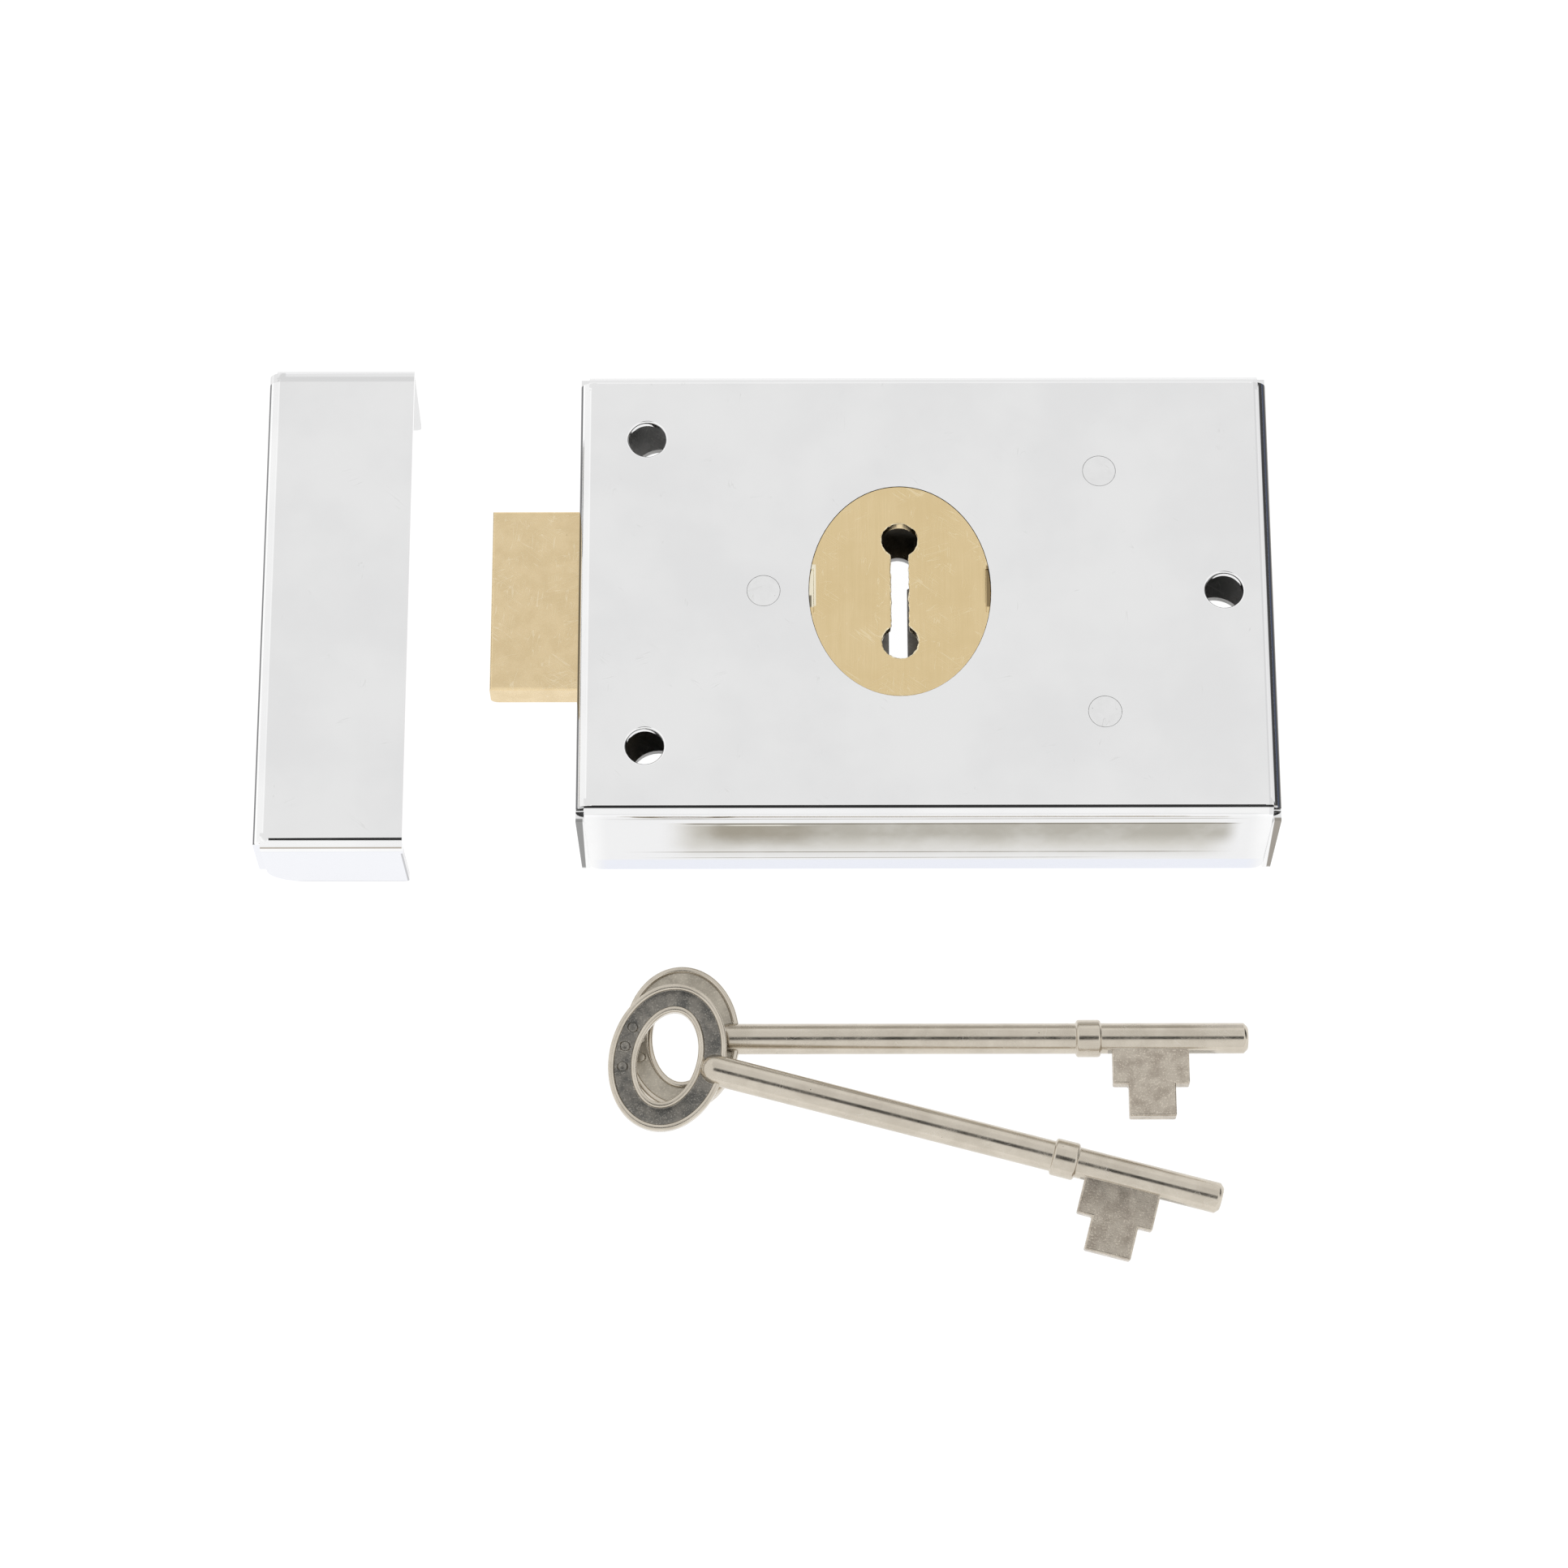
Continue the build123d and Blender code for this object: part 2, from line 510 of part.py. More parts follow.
def key(origin, along, up):
    """Key with its bow's left end at origin, its shank along one direction, its bit to the side."""
    with BuildPart() as blank:
        with BuildSketch(Plane.XY.offset(-BOW_T / 2)):
            with Locations((BOW_W / 2, 0)):
                Ellipse(BOW_W / 2, BOW_H / 2)
                Ellipse(BOW_HOLE_W / 2, BOW_HOLE_H / 2, mode=Mode.SUBTRACT)
        extrude(amount=BOW_T)
        for z, way in ((BOW_T / 2, -1), (-BOW_T / 2, 1)):
            with BuildSketch(Plane.XY.offset(z)):
                with Locations((BOW_W / 2, 0)):
                    Ellipse(BOW_W / 2 - BOW_RIM, BOW_H / 2 - BOW_RIM)
                    Ellipse(BOW_HOLE_W / 2 + BOW_RIM, BOW_HOLE_H / 2 + BOW_RIM, mode=Mode.SUBTRACT)
            extrude(amount=way * BOW_RECESS, mode=Mode.SUBTRACT)
        with BuildSketch(Plane.XY.offset(BOW_T / 2 - BOW_RECESS)):
            for angle in PIP_ANGLES:
                mid_w = (BOW_W + BOW_HOLE_W) / 4
                mid_h = (BOW_H + BOW_HOLE_H) / 4
                pip = (BOW_W / 2 + mid_w * cos(radians(angle)), mid_h * sin(radians(angle)))
                with Locations(pip):
                    Circle(PIP_R)
        extrude(amount=BOW_RECESS)
        with BuildSketch(Plane.XY):
            with BuildLine():
                start = (SHANK_START, 0)
                shoulder = (SHANK_START + SHANK_R, SHANK_R)
                ThreePointArc(
                    start,
                    (SHANK_START + SHANK_R * (1 - cos(pi / 4)), SHANK_R * sin(pi / 4)),
                    shoulder,
                )
                Polyline(
                    shoulder,
                    (COLLAR_START, SHANK_R),
                    (COLLAR_START + COLLAR_EDGE, COLLAR_R),
                    (COLLAR_END - COLLAR_EDGE, COLLAR_R),
                    (COLLAR_END, SHANK_R),
                    (KEY_LENGTH - TIP_EDGE, SHANK_R),
                    (KEY_LENGTH, SHANK_R - TIP_EDGE),
                    (KEY_LENGTH, 0),
                    start,
                )
            make_face()
        revolve(axis=Axis.X)
        with BuildSketch(Plane.XY.offset(-BIT_T / 2)):
            with BuildLine():
                Polyline(
                    (BIT_START, 0),
                    (BIT_START, -BIT_WIDE_R),
                    (BIT_NARROW_START, -BIT_WIDE_R),
                    (BIT_NARROW_START, -BIT_TIP_R),
                    (BIT_NARROW_END, -BIT_TIP_R),
                    (BIT_NARROW_END, -BIT_WIDE_R),
                    (BIT_END, -BIT_WIDE_R),
                    (BIT_END, 0),
                    close=True,
                )
            make_face()
        extrude(amount=BIT_T)
    placed = Plane(origin=origin, x_dir=along, z_dir=up)
    with BuildPart() as made:
        add(placed.from_local_coords(blank.part))
    return made


# ---- the keys: the back one flat on the surface, the front one leaning on it, rolled onto its bit ----
back_start = (LOCK_X + BACK_KEY_TIP_X - KEY_LENGTH, LOCK_Y + BACK_KEY_Y, COLLAR_R)
finish(key(back_start, (1, 0, 0), (0, 0, 1)), "key_back")

stub_top = COLLAR_R + SHANK_R + FRONT_KEY_REST_GAP
lean = asin((stub_top + BOW_T / 2 - SHANK_R) / (KEY_LENGTH - SHANK_START))
turn = radians(FRONT_KEY_TURN)
along = (cos(turn) * cos(lean), sin(turn) * cos(lean), -sin(lean))
roll = radians(FRONT_KEY_ROLL)
up = (
    cos(turn) * sin(lean) * cos(roll) + sin(turn) * sin(roll),
    sin(turn) * sin(lean) * cos(roll) - cos(turn) * sin(roll),
    cos(lean) * cos(roll),
)
tip_z = SHANK_R * cos(lean)
front_start = (
    LOCK_X + FRONT_KEY_TIP[0] - KEY_LENGTH * along[0],
    LOCK_Y + FRONT_KEY_TIP[1] - KEY_LENGTH * along[1],
    tip_z - KEY_LENGTH * along[2],
)
finish(key(front_start, along, up), "key_front")
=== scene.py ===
"""Rim deadlock set laid out on a light table: the lock, its keep and two stepped-bit keys."""
import logging
import math
from collections.abc import Callable, Mapping, Sequence
from dataclasses import dataclass, replace
from enum import Enum
from typing import Any

import bmesh
import bpy
from mathutils import Matrix, Vector


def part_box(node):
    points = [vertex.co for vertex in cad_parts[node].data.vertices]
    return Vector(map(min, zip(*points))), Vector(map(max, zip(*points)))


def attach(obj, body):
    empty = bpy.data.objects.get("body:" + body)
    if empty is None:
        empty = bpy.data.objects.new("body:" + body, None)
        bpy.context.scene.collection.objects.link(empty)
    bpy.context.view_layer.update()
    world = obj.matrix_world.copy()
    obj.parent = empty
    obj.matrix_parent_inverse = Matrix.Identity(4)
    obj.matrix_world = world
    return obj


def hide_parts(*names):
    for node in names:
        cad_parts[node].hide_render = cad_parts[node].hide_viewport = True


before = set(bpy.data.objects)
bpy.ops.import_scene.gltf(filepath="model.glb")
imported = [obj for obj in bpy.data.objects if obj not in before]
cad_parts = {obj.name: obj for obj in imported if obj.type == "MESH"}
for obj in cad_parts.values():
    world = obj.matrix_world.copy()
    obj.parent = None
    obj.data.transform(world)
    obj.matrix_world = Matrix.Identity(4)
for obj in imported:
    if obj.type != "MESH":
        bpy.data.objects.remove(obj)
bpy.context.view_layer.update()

LOG = logging.getLogger("rim_deadlock")
MM = 0.001
UM = 1e-6
Colour = tuple[float, float, float]
Layers = tuple[Any, "Value", "Value"]
NodeAdder = Callable[..., bpy.types.Node]


class Grain(Enum):
    """Which way a surface was brushed or rolled."""

    NONE = (1.0, 1.0, 1.0)
    ALONG_X = (0.02, 1.0, 1.0)
    ALONG_Y = (1.0, 0.02, 1.0)


class Lie(Enum):
    """How a key lies: flat on the table, or propped with its bow on the other key."""

    FLAT = "flat"
    PROPPED = "propped"


# ---------------------------------------------------------------- node building


class Value:
    """A number inside a node tree; sums written with it add Math nodes."""

    def __init__(self, sheet: "NodeSheet", socket: bpy.types.NodeSocket) -> None:
        """Keep the tree and the socket that holds the number."""
        self.sheet = sheet
        self.socket = socket

    def _math(self, operation: str, first: Any, second: Any = 0.0) -> "Value":
        """Add one Math node.

        Args:
            operation: Blender's name of the operation.
            first: left operand, a Value or a number.
            second: right operand, a Value or a number.

        Returns:
            The node's result.
        """
        node = self.sheet.add("ShaderNodeMath", {"operation": operation}, {0: first, 1: second})
        return Value(self.sheet, node.outputs[0])

    def __add__(self, other: Any) -> "Value":
        """Sum."""
        return self._math("ADD", self, other)

    __radd__ = __add__

    def __sub__(self, other: Any) -> "Value":
        """Difference."""
        return self._math("SUBTRACT", self, other)

    def __rsub__(self, other: Any) -> "Value":
        """Difference, with this value taken away."""
        return self._math("SUBTRACT", other, self)

    def __mul__(self, other: Any) -> "Value":
        """Product."""
        return self._math("MULTIPLY", self, other)

    __rmul__ = __mul__

    def __abs__(self) -> "Value":
        """Size without sign."""
        return self._math("ABSOLUTE", self)

    def rises(self, low: float, high: float) -> "Value":
        """Smooth step from 0 at low to 1 at high.

        Args:
            low: where the step starts.
            high: where it ends; below low, the step falls instead.

        Returns:
            A value from 0 to 1.
        """
        ends = (low, high, 0.0, 1.0) if low < high else (high, low, 1.0, 0.0)
        node = self.sheet.add(
            "ShaderNodeMapRange",
            {"interpolation_type": "SMOOTHSTEP"},
            {"Value": self, "From Min": ends[0], "From Max": ends[1], "To Min": ends[2], "To Max": ends[3]},
        )
        return Value(self.sheet, node.outputs["Result"])


class NodeSheet:
    """One node tree, and the only place its nodes are added."""

    def __init__(self, tree: bpy.types.NodeTree) -> None:
        """Start from an empty tree."""
        self.tree = tree
        tree.nodes.clear()

    def add(
        self,
        kind: str,
        settings: Mapping[str, Any] | None = None,
        inputs: Mapping[str | int, Any] | None = None,
    ) -> bpy.types.Node:
        """Add a node, set it, then feed its sockets.

        Args:
            kind: Blender's name of the node type.
            settings: the node's own properties, set first.
            inputs: a Value, a socket, a number or a colour for each named or numbered input.

        Returns:
            The node.
        """
        node = self.tree.nodes.new(kind)
        for key, value in (settings or {}).items():
            setattr(node, key, value)
        for key, value in (inputs or {}).items():
            socket = node.inputs[key]
            if isinstance(value, Value):
                self.tree.links.new(value.socket, socket)
            elif isinstance(value, bpy.types.NodeSocket):
                self.tree.links.new(value, socket)
            else:
                socket.default_value = value
        return node

    def place(self) -> bpy.types.NodeSocket:
        """Object coordinates, in metres."""
        return self.add("ShaderNodeTexCoord").outputs["Object"]

    def turned(self, place: Any, scale: Sequence[float], angle: float = 0.0) -> bpy.types.NodeSocket:
        """Coordinates scaled along each axis and turned about Z."""
        node = self.add(
            "ShaderNodeMapping",
            {"vector_type": "POINT"},
            {"Vector": place, "Scale": tuple(scale), "Rotation": (0.0, 0.0, angle)},
        )
        return node.outputs["Vector"]

    def noise(self, place: Any, size: float, detail: float = 3.0, rough: float = 0.55) -> Value:
        """Cloudy noise from 0 to 1.

        Args:
            place: coordinates in metres.
            size: length of the largest features, in metres.
            detail: octaves.
            rough: how strong the finer octaves are.

        Returns:
            The noise value.
        """
        node = self.add(
            "ShaderNodeTexNoise",
            {"noise_dimensions": "3D"},
            {"Vector": place, "Scale": 1.0 / size, "Detail": detail, "Roughness": rough},
        )
        return Value(self, node.outputs[0])

    def specks(self, place: Any, pitch: float, radius: float, share: float) -> Value:
        """Round specks scattered at random.

        Args:
            place: coordinates in metres.
            pitch: mean distance between specks, in metres.
            radius: largest radius of a speck, in metres.
            share: share of the cells that hold a speck, 0 to 1.

        Returns:
            1 inside a speck, 0 outside.
        """
        cell = self.add(
            "ShaderNodeTexVoronoi",
            {"voronoi_dimensions": "3D", "feature": "F1"},
            {"Vector": place, "Scale": 1.0 / pitch, "Randomness": 1.0},
        )
        pick = self.add("ShaderNodeSeparateColor", {}, {0: cell.outputs["Color"]})
        near = Value(self, cell.outputs["Distance"])
        chosen = Value(self, pick.outputs[0]).rises(1.0 - share, 1.0 - share * 0.4)
        return near.rises(radius / pitch, 0.45 * radius / pitch) * chosen

    def hairlines(self, place: Any, angle: float, length: float, width: float, share: float) -> Value:
        """Straight fine scratches that lie one way.

        Args:
            place: coordinates in metres.
            angle: their direction from +X, in radians.
            length: about how long each one is, in metres.
            width: how wide each one is, in metres.
            share: how much of the surface has them, 0 to 1.

        Returns:
            1 in a scratch, 0 outside.
        """
        pitch = 24.0 * width
        along = self.turned(place, (1.0, 1.0, 1.0), -angle)
        stretched = self.turned(along, (pitch / length, 1.0, 1.0))
        lines = self.noise(stretched, pitch, 1.0, 0.4)
        where = self.noise(along, length * 0.45, 1.0).rises(0.72 - 0.34 * share, 0.80 - 0.34 * share)
        return abs(lines - 0.5).rises(0.012, 0.004) * where

    def blend(self, factor: Any, first: Any, second: Any) -> bpy.types.NodeSocket:
        """Colour mixed from first at 0 to second at 1."""
        node = self.add("ShaderNodeMix", {"data_type": "RGBA"}, {0: factor, 6: first, 7: second})
        return node.outputs[2]

    def dot(self, vector: Any, axis: Sequence[float]) -> Value:
        """How far a direction points along an axis."""
        node = self.add("ShaderNodeVectorMath", {"operation": "DOT_PRODUCT"}, {0: vector, 1: tuple(axis)})
        return Value(self, node.outputs["Value"])


# ---------------------------------------------------------------- finishes


@dataclass(frozen=True)
class PaintedLight:
    """A soft-edged tint inside a box that paints light or shade: a reflection band on a wall, a dark line
    along a bend, a highlight or shade at a notch.
    """

    low: tuple[float, float, float]
    high: tuple[float, float, float]
    colour: Colour
    amount: float = 1.0
    soft: tuple[float, float, float] = (0.1 * MM, 0.1 * MM, 0.1 * MM)
    ragged: float = 0.0
    crisp: float | None = None

    def mask(self, sheet: NodeSheet, place: Any) -> Value:
        """Where the painted light or shade shows.

        Args:
            sheet: the material's tree.
            place: object coordinates.

        Returns:
            0 outside the box, the streak's amount well inside it.
        """
        parts = sheet.add("ShaderNodeSeparateXYZ", {}, {0: place})
        cover: Any = self.amount
        if self.ragged:
            cloud = sheet.noise(place, 7 * MM, 3.0).rises(0.25, 0.6)
            cover = cloud * self.ragged + (self.amount - self.ragged)
        for axis, (low, high, soft) in enumerate(zip(self.low, self.high, self.soft)):
            along = Value(sheet, parts.outputs[axis])
            end = self.crisp if self.crisp and axis == 2 else soft
            cover = along.rises(low, low + soft) * along.rises(high, high - end) * cover
        return cover


@dataclass(frozen=True)
class Metal:
    """A metal surface: its colour and gloss, the marks left by making and by use, and tints that paint light
    and shade.
    """

    name: str
    colour: Colour
    stain: Colour
    gloss: float
    gloss_spread: float = 0.03
    stain_size: float = 9 * MM
    stain_amount: float = 0.5
    grain: Grain = Grain.NONE
    grain_pitch: float = 0.12 * MM
    grain_depth: float = 0.0
    grain_tint: float = 0.0
    wave_size: float = 14 * MM
    wave_depth: float = 0.0
    skin_size: float = 0.25 * MM
    skin_depth: float = 0.0
    skin_painted_glint: float = 0.0
    scratch_amount: float = 0.0
    scratch_width: float = 0.035 * MM
    scratch_tone: Colour = (0.55, 0.54, 0.52)
    pit_pitch: float = 2.2 * MM
    pit_radius: float = 0.11 * MM
    pit_share: float = 0.0
    pit_tone: Colour = (0.10, 0.095, 0.09)
    painted_lights: tuple[PaintedLight, ...] = ()

    def material(self) -> bpy.types.Material:
        """Build the material.

        Returns:
            The material, ready for a mesh's slot.
        """
        made = bpy.data.materials.new(self.name)
        made.use_nodes = True
        sheet = NodeSheet(made.node_tree)
        place = sheet.place()
        layers = self._base(sheet, place)
        if self.grain is not Grain.NONE:
            layers = self._brushed(sheet, place, *layers)
        if self.skin_depth:
            layers = self._skin(sheet, place, *layers)
        if self.scratch_amount:
            layers = self._scratched(sheet, place, *layers)
        if self.pit_share:
            layers = self._pitted(sheet, place, *layers)
        colour, rough, height = layers
        # Painted reflections, highlights and shade, laid over the colour.
        for painted_tint in self.painted_lights:
            colour = sheet.blend(painted_tint.mask(sheet, place), colour, (*painted_tint.colour, 1.0))
        bump = sheet.add("ShaderNodeBump", {}, {"Strength": 1.0, "Distance": 1.0, "Height": height})
        surface = sheet.add(
            "ShaderNodeBsdfPrincipled",
            {},
            {"Base Color": colour, "Metallic": 1.0, "Roughness": rough, "Normal": bump.outputs["Normal"]},
        )
        sheet.add("ShaderNodeOutputMaterial", {}, {"Surface": surface.outputs["BSDF"]})
        return made

    def _base(self, sheet: NodeSheet, place: Any) -> Layers:
        """Colour, roughness and height before any marks: clouds of tarnish, uneven gloss, slow waves.

        Args:
            sheet: the material's tree.
            place: object coordinates.

        Returns:
            Colour socket, roughness value and height value in metres.
        """
        clouds = sheet.noise(place, self.stain_size, 4.0).rises(0.36, 0.68)
        colour = sheet.blend(clouds * self.stain_amount, (*self.colour, 1.0), (*self.stain, 1.0))
        smears = sheet.noise(sheet.turned(place, (1.0, 0.45, 1.0), 0.5), self.stain_size * 0.7, 3.0)
        rough = smears.rises(0.35, 0.75) * self.gloss_spread + self.gloss
        height = sheet.noise(place, self.wave_size, 1.0) * self.wave_depth
        return colour, rough, height

    def _brushed(self, sheet: NodeSheet, place: Any, colour: Any, rough: Value, height: Value) -> Layers:
        """Add brushing lines.

        Args:
            sheet, place: the material's tree and its object coordinates.
            colour, rough, height: the layers so far, height in metres.

        Returns:
            Colour, roughness and height with the lines.
        """
        fine = sheet.noise(sheet.turned(place, self.grain.value), self.grain_pitch, 3.0, 0.7)
        broad = sheet.noise(sheet.turned(place, self.grain.value), self.grain_pitch * 6.0, 2.0, 0.6)
        lines = fine * 0.65 + broad * 0.35
        shade = lines.rises(0.34, 0.66) * self.grain_tint
        colour = sheet.blend(shade, colour, (*self.stain, 1.0))
        return colour, rough + (lines - 0.5) * 0.12, height + lines * self.grain_depth

    def _skin(self, sheet: NodeSheet, place: Any, colour: Any, rough: Value, height: Value) -> Layers:
        """Add the fine rough skin of a casting or a blasted recess, with painted glints on the tops of its
        grains.

        Args:
            sheet, place: the material's tree and its object coordinates.
            colour, rough, height: the layers so far, height in metres.

        Returns:
            Colour, roughness and height with the skin.
        """
        grains = sheet.noise(place, self.skin_size, 3.0, 0.65)
        # Painted glints: the highest grains are lightened.
        painted_glints = grains.rises(0.50, 0.72) * self.skin_painted_glint
        colour = sheet.blend(painted_glints, colour, tuple(min(1.0, 1.9 * c) for c in self.colour) + (1.0,))
        return colour, rough + (0.5 - grains) * 0.2, height + grains * self.skin_depth

    def _scratched(self, sheet: NodeSheet, place: Any, colour: Any, rough: Value, height: Value) -> Layers:
        """Add fine scratches that cross at three angles.

        Args:
            sheet, place: the material's tree and its object coordinates.
            colour, rough, height: the layers so far, height in metres.

        Returns:
            Colour, roughness and height with the scratches.
        """
        marks: Value | None = None
        for angle, length in ((0.35, 9 * MM), (1.45, 6 * MM), (2.5, 12 * MM)):
            lines = sheet.hairlines(place, angle, length, self.scratch_width, self.scratch_amount)
            marks = lines if marks is None else marks + lines
        marks = marks.rises(0.0, 1.0)
        colour = sheet.blend(marks * 0.35, colour, (*self.scratch_tone, 1.0))
        return colour, rough + marks * 0.12, height - marks * (0.8 * UM)

    def _pitted(self, sheet: NodeSheet, place: Any, colour: Any, rough: Value, height: Value) -> Layers:
        """Add pinholes in the plating.

        Args:
            sheet, place: the material's tree and its object coordinates.
            colour, rough, height: the layers so far, height in metres.

        Returns:
            Colour, roughness and height with the pinholes.
        """
        pits = sheet.specks(place, self.pit_pitch, self.pit_radius, self.pit_share)
        colour = sheet.blend(pits * 0.8, colour, (*self.pit_tone, 1.0))
        return colour, rough + pits * 0.3, height - pits * (6.0 * UM)


PLATED_SHEET = Metal(
    "plated_sheet", (0.89, 0.89, 0.89), (0.842, 0.842, 0.845), 0.055, 0.05, stain_size=19 * MM,
    stain_amount=0.9, wave_depth=6 * UM, wave_size=22 * MM, scratch_amount=0.14,
    scratch_tone=(0.74, 0.74, 0.73), pit_share=0.10, pit_pitch=4.5 * MM,
    pit_radius=0.16 * MM, pit_tone=(0.36, 0.35, 0.33),
)
BRUSHED_BRASS = Metal(
    "brushed_brass", (0.805, 0.640, 0.372), (0.725, 0.560, 0.300), 0.17, 0.06, stain_size=7 * MM,
    grain=Grain.ALONG_Y, grain_depth=1.6 * UM, grain_tint=0.5, scratch_amount=0.5,
    scratch_tone=(0.93, 0.82, 0.58), pit_share=0.12, pit_pitch=1.8 * MM, pit_radius=0.10 * MM,
    pit_tone=(0.33, 0.24, 0.12),
)
BURRED_BRASS = Metal(
    "burred_brass", (0.90, 0.80, 0.56), (0.60, 0.46, 0.25), 0.22, 0.1, stain_size=0.5 * MM, stain_amount=0.9,
    skin_size=0.12 * MM, skin_depth=5 * UM, skin_painted_glint=0.3,
)
CAST_BRASS = Metal(
    "cast_brass", (0.79, 0.630, 0.385), (0.70, 0.545, 0.315), 0.20, 0.07, stain_size=2.6 * MM,
    stain_amount=0.6, wave_size=5 * MM, wave_depth=3 * UM,
    skin_size=0.35 * MM, skin_depth=1.6 * UM, skin_painted_glint=0.10,
    scratch_amount=0.6, scratch_tone=(0.93, 0.83, 0.62), pit_share=0.25, pit_pitch=1.5 * MM,
    pit_radius=0.10 * MM, pit_tone=(0.30, 0.22, 0.12),
)
KEY_NICKEL = Metal(
    "key_nickel", (0.63, 0.575, 0.49), (0.50, 0.45, 0.375), 0.18, 0.09, stain_size=4 * MM, stain_amount=0.6,
    grain=Grain.ALONG_X, grain_pitch=0.10 * MM, grain_depth=1.0 * UM, grain_tint=0.25, skin_size=0.22 * MM,
    skin_depth=1.5 * UM, skin_painted_glint=0.06, scratch_amount=0.35, scratch_tone=(0.72, 0.68, 0.62),
    pit_share=0.3, pit_pitch=1.6 * MM, pit_radius=0.12 * MM, pit_tone=(0.12, 0.10, 0.08),
)
# The front key's sunk web: the back key's web metal painted darker, a painted dark reflection.
KEY_RECESS_SHADED = Metal(
    "key_recess_dark", (0.24, 0.225, 0.20), (0.10, 0.10, 0.095), 0.24, 0.14, stain_size=2.2 * MM,
    stain_amount=0.85, skin_size=0.24 * MM, skin_depth=14 * UM, skin_painted_glint=0.75,
)
# The back key's sunk web: the same metal, painted lighter than the front key's web.
KEY_RECESS_LIT = Metal(
    "key_recess_pale", (0.46, 0.42, 0.35), (0.33, 0.30, 0.25), 0.36, 0.12, stain_size=2.5 * MM,
    stain_amount=0.8, skin_size=0.30 * MM, skin_depth=10 * UM, skin_painted_glint=0.30,
)
KEY_BIT = Metal(
    "key_bit", (0.53, 0.475, 0.40), (0.36, 0.31, 0.255), 0.20, 0.12, stain_size=2.0 * MM, stain_amount=0.8,
    skin_size=0.26 * MM, skin_depth=8 * UM, skin_painted_glint=0.45, pit_share=0.35, pit_pitch=1.0 * MM,
    pit_radius=0.10 * MM, pit_tone=(0.12, 0.10, 0.08),
)
PLATED_RIVET = Metal(
    "plated_rivet", (0.87, 0.87, 0.87), (0.80, 0.80, 0.80), 0.09, 0.06, stain_size=2 * MM, wave_size=2.4 * MM,
    wave_depth=3 * UM, scratch_amount=0.4, pit_share=0.2, pit_pitch=1.2 * MM, pit_radius=0.08 * MM,
)
OILED_STEEL = Metal(
    "oiled_steel", (0.42, 0.41, 0.40), (0.27, 0.25, 0.23), 0.30, 0.12, stain_size=6 * MM, stain_amount=0.8,
    grain=Grain.ALONG_X, grain_pitch=0.18 * MM, grain_depth=2 * UM, grain_tint=0.2, scratch_amount=0.6,
)
ZINC_STEEL = Metal(
    "zinc_steel", (0.28, 0.275, 0.27), (0.20, 0.20, 0.195), 0.30, 0.10, stain_size=5 * MM, stain_amount=0.9,
    skin_size=0.5 * MM, skin_depth=3 * UM, skin_painted_glint=0.08, scratch_amount=0.7, pit_share=0.2,
)
LEVER_BRASS = Metal(
    "lever_brass", (0.72, 0.56, 0.29), (0.55, 0.40, 0.18), 0.24, 0.08, stain_size=6 * MM, stain_amount=0.7,
    grain=Grain.ALONG_Y, grain_depth=1.6 * UM, grain_tint=0.3, scratch_amount=0.5,
)


class FinishShelf:
    """Builds each finish's material once and hands it out."""

    def __init__(self) -> None:
        """Start with an empty shelf."""
        self._made: dict[str, bpy.types.Material] = {}

    def get(self, finish: Metal) -> bpy.types.Material:
        """The material of a finish."""
        if finish.name not in self._made:
            self._made[finish.name] = finish.material()
        return self._made[finish.name]


# ---------------------------------------------------------------- mesh building


def plain_object(name: str, mesh: bpy.types.Mesh) -> bpy.types.Object:
    """A new object in the scene, at the origin."""
    made = bpy.data.objects.new(name, mesh)
    bpy.context.scene.collection.objects.link(made)
    return made


def mesh_from(name: str, work: bmesh.types.BMesh, smooth: bool = True) -> bpy.types.Mesh:
    """Turn a working mesh into a mesh and free it.

    Args:
        name: the mesh's name.
        work: the working mesh.
        smooth: whether its faces are shaded smooth.

    Returns:
        The new mesh.
    """
    for face in work.faces:
        face.smooth = smooth
    mesh = bpy.data.meshes.new(name)
    work.to_mesh(mesh)
    work.free()
    return mesh


def baked(source: bpy.types.Object, name: str) -> bpy.types.Object:
    """A plain object with the source's modifiers applied; the source is removed.

    Args:
        source: an object with modifiers.
        name: the new object's name.

    Returns:
        The new object, without modifiers.
    """
    bpy.context.view_layer.update()
    graph = bpy.context.evaluated_depsgraph_get()
    mesh = bpy.data.meshes.new_from_object(source.evaluated_get(graph), depsgraph=graph)
    mesh.name = name
    bpy.data.objects.remove(source)
    return plain_object(name, mesh)


def add_bevel(target: bpy.types.Object, width: float, segments: int, angle: float) -> None:
    """Add a bevel on edges sharper than an angle, then area-weighted normals."""
    bevel = target.modifiers.new("edge", "BEVEL")
    bevel.width = width
    bevel.segments = segments
    bevel.limit_method = "ANGLE"
    bevel.angle_limit = math.radians(angle)
    bevel.miter_outer = "MITER_SHARP"
    bevel.use_clamp_overlap = True
    bevel.harden_normals = False
    weighted = target.modifiers.new("normals", "WEIGHTED_NORMAL")
    weighted.keep_sharp = True
    weighted.weight = 50


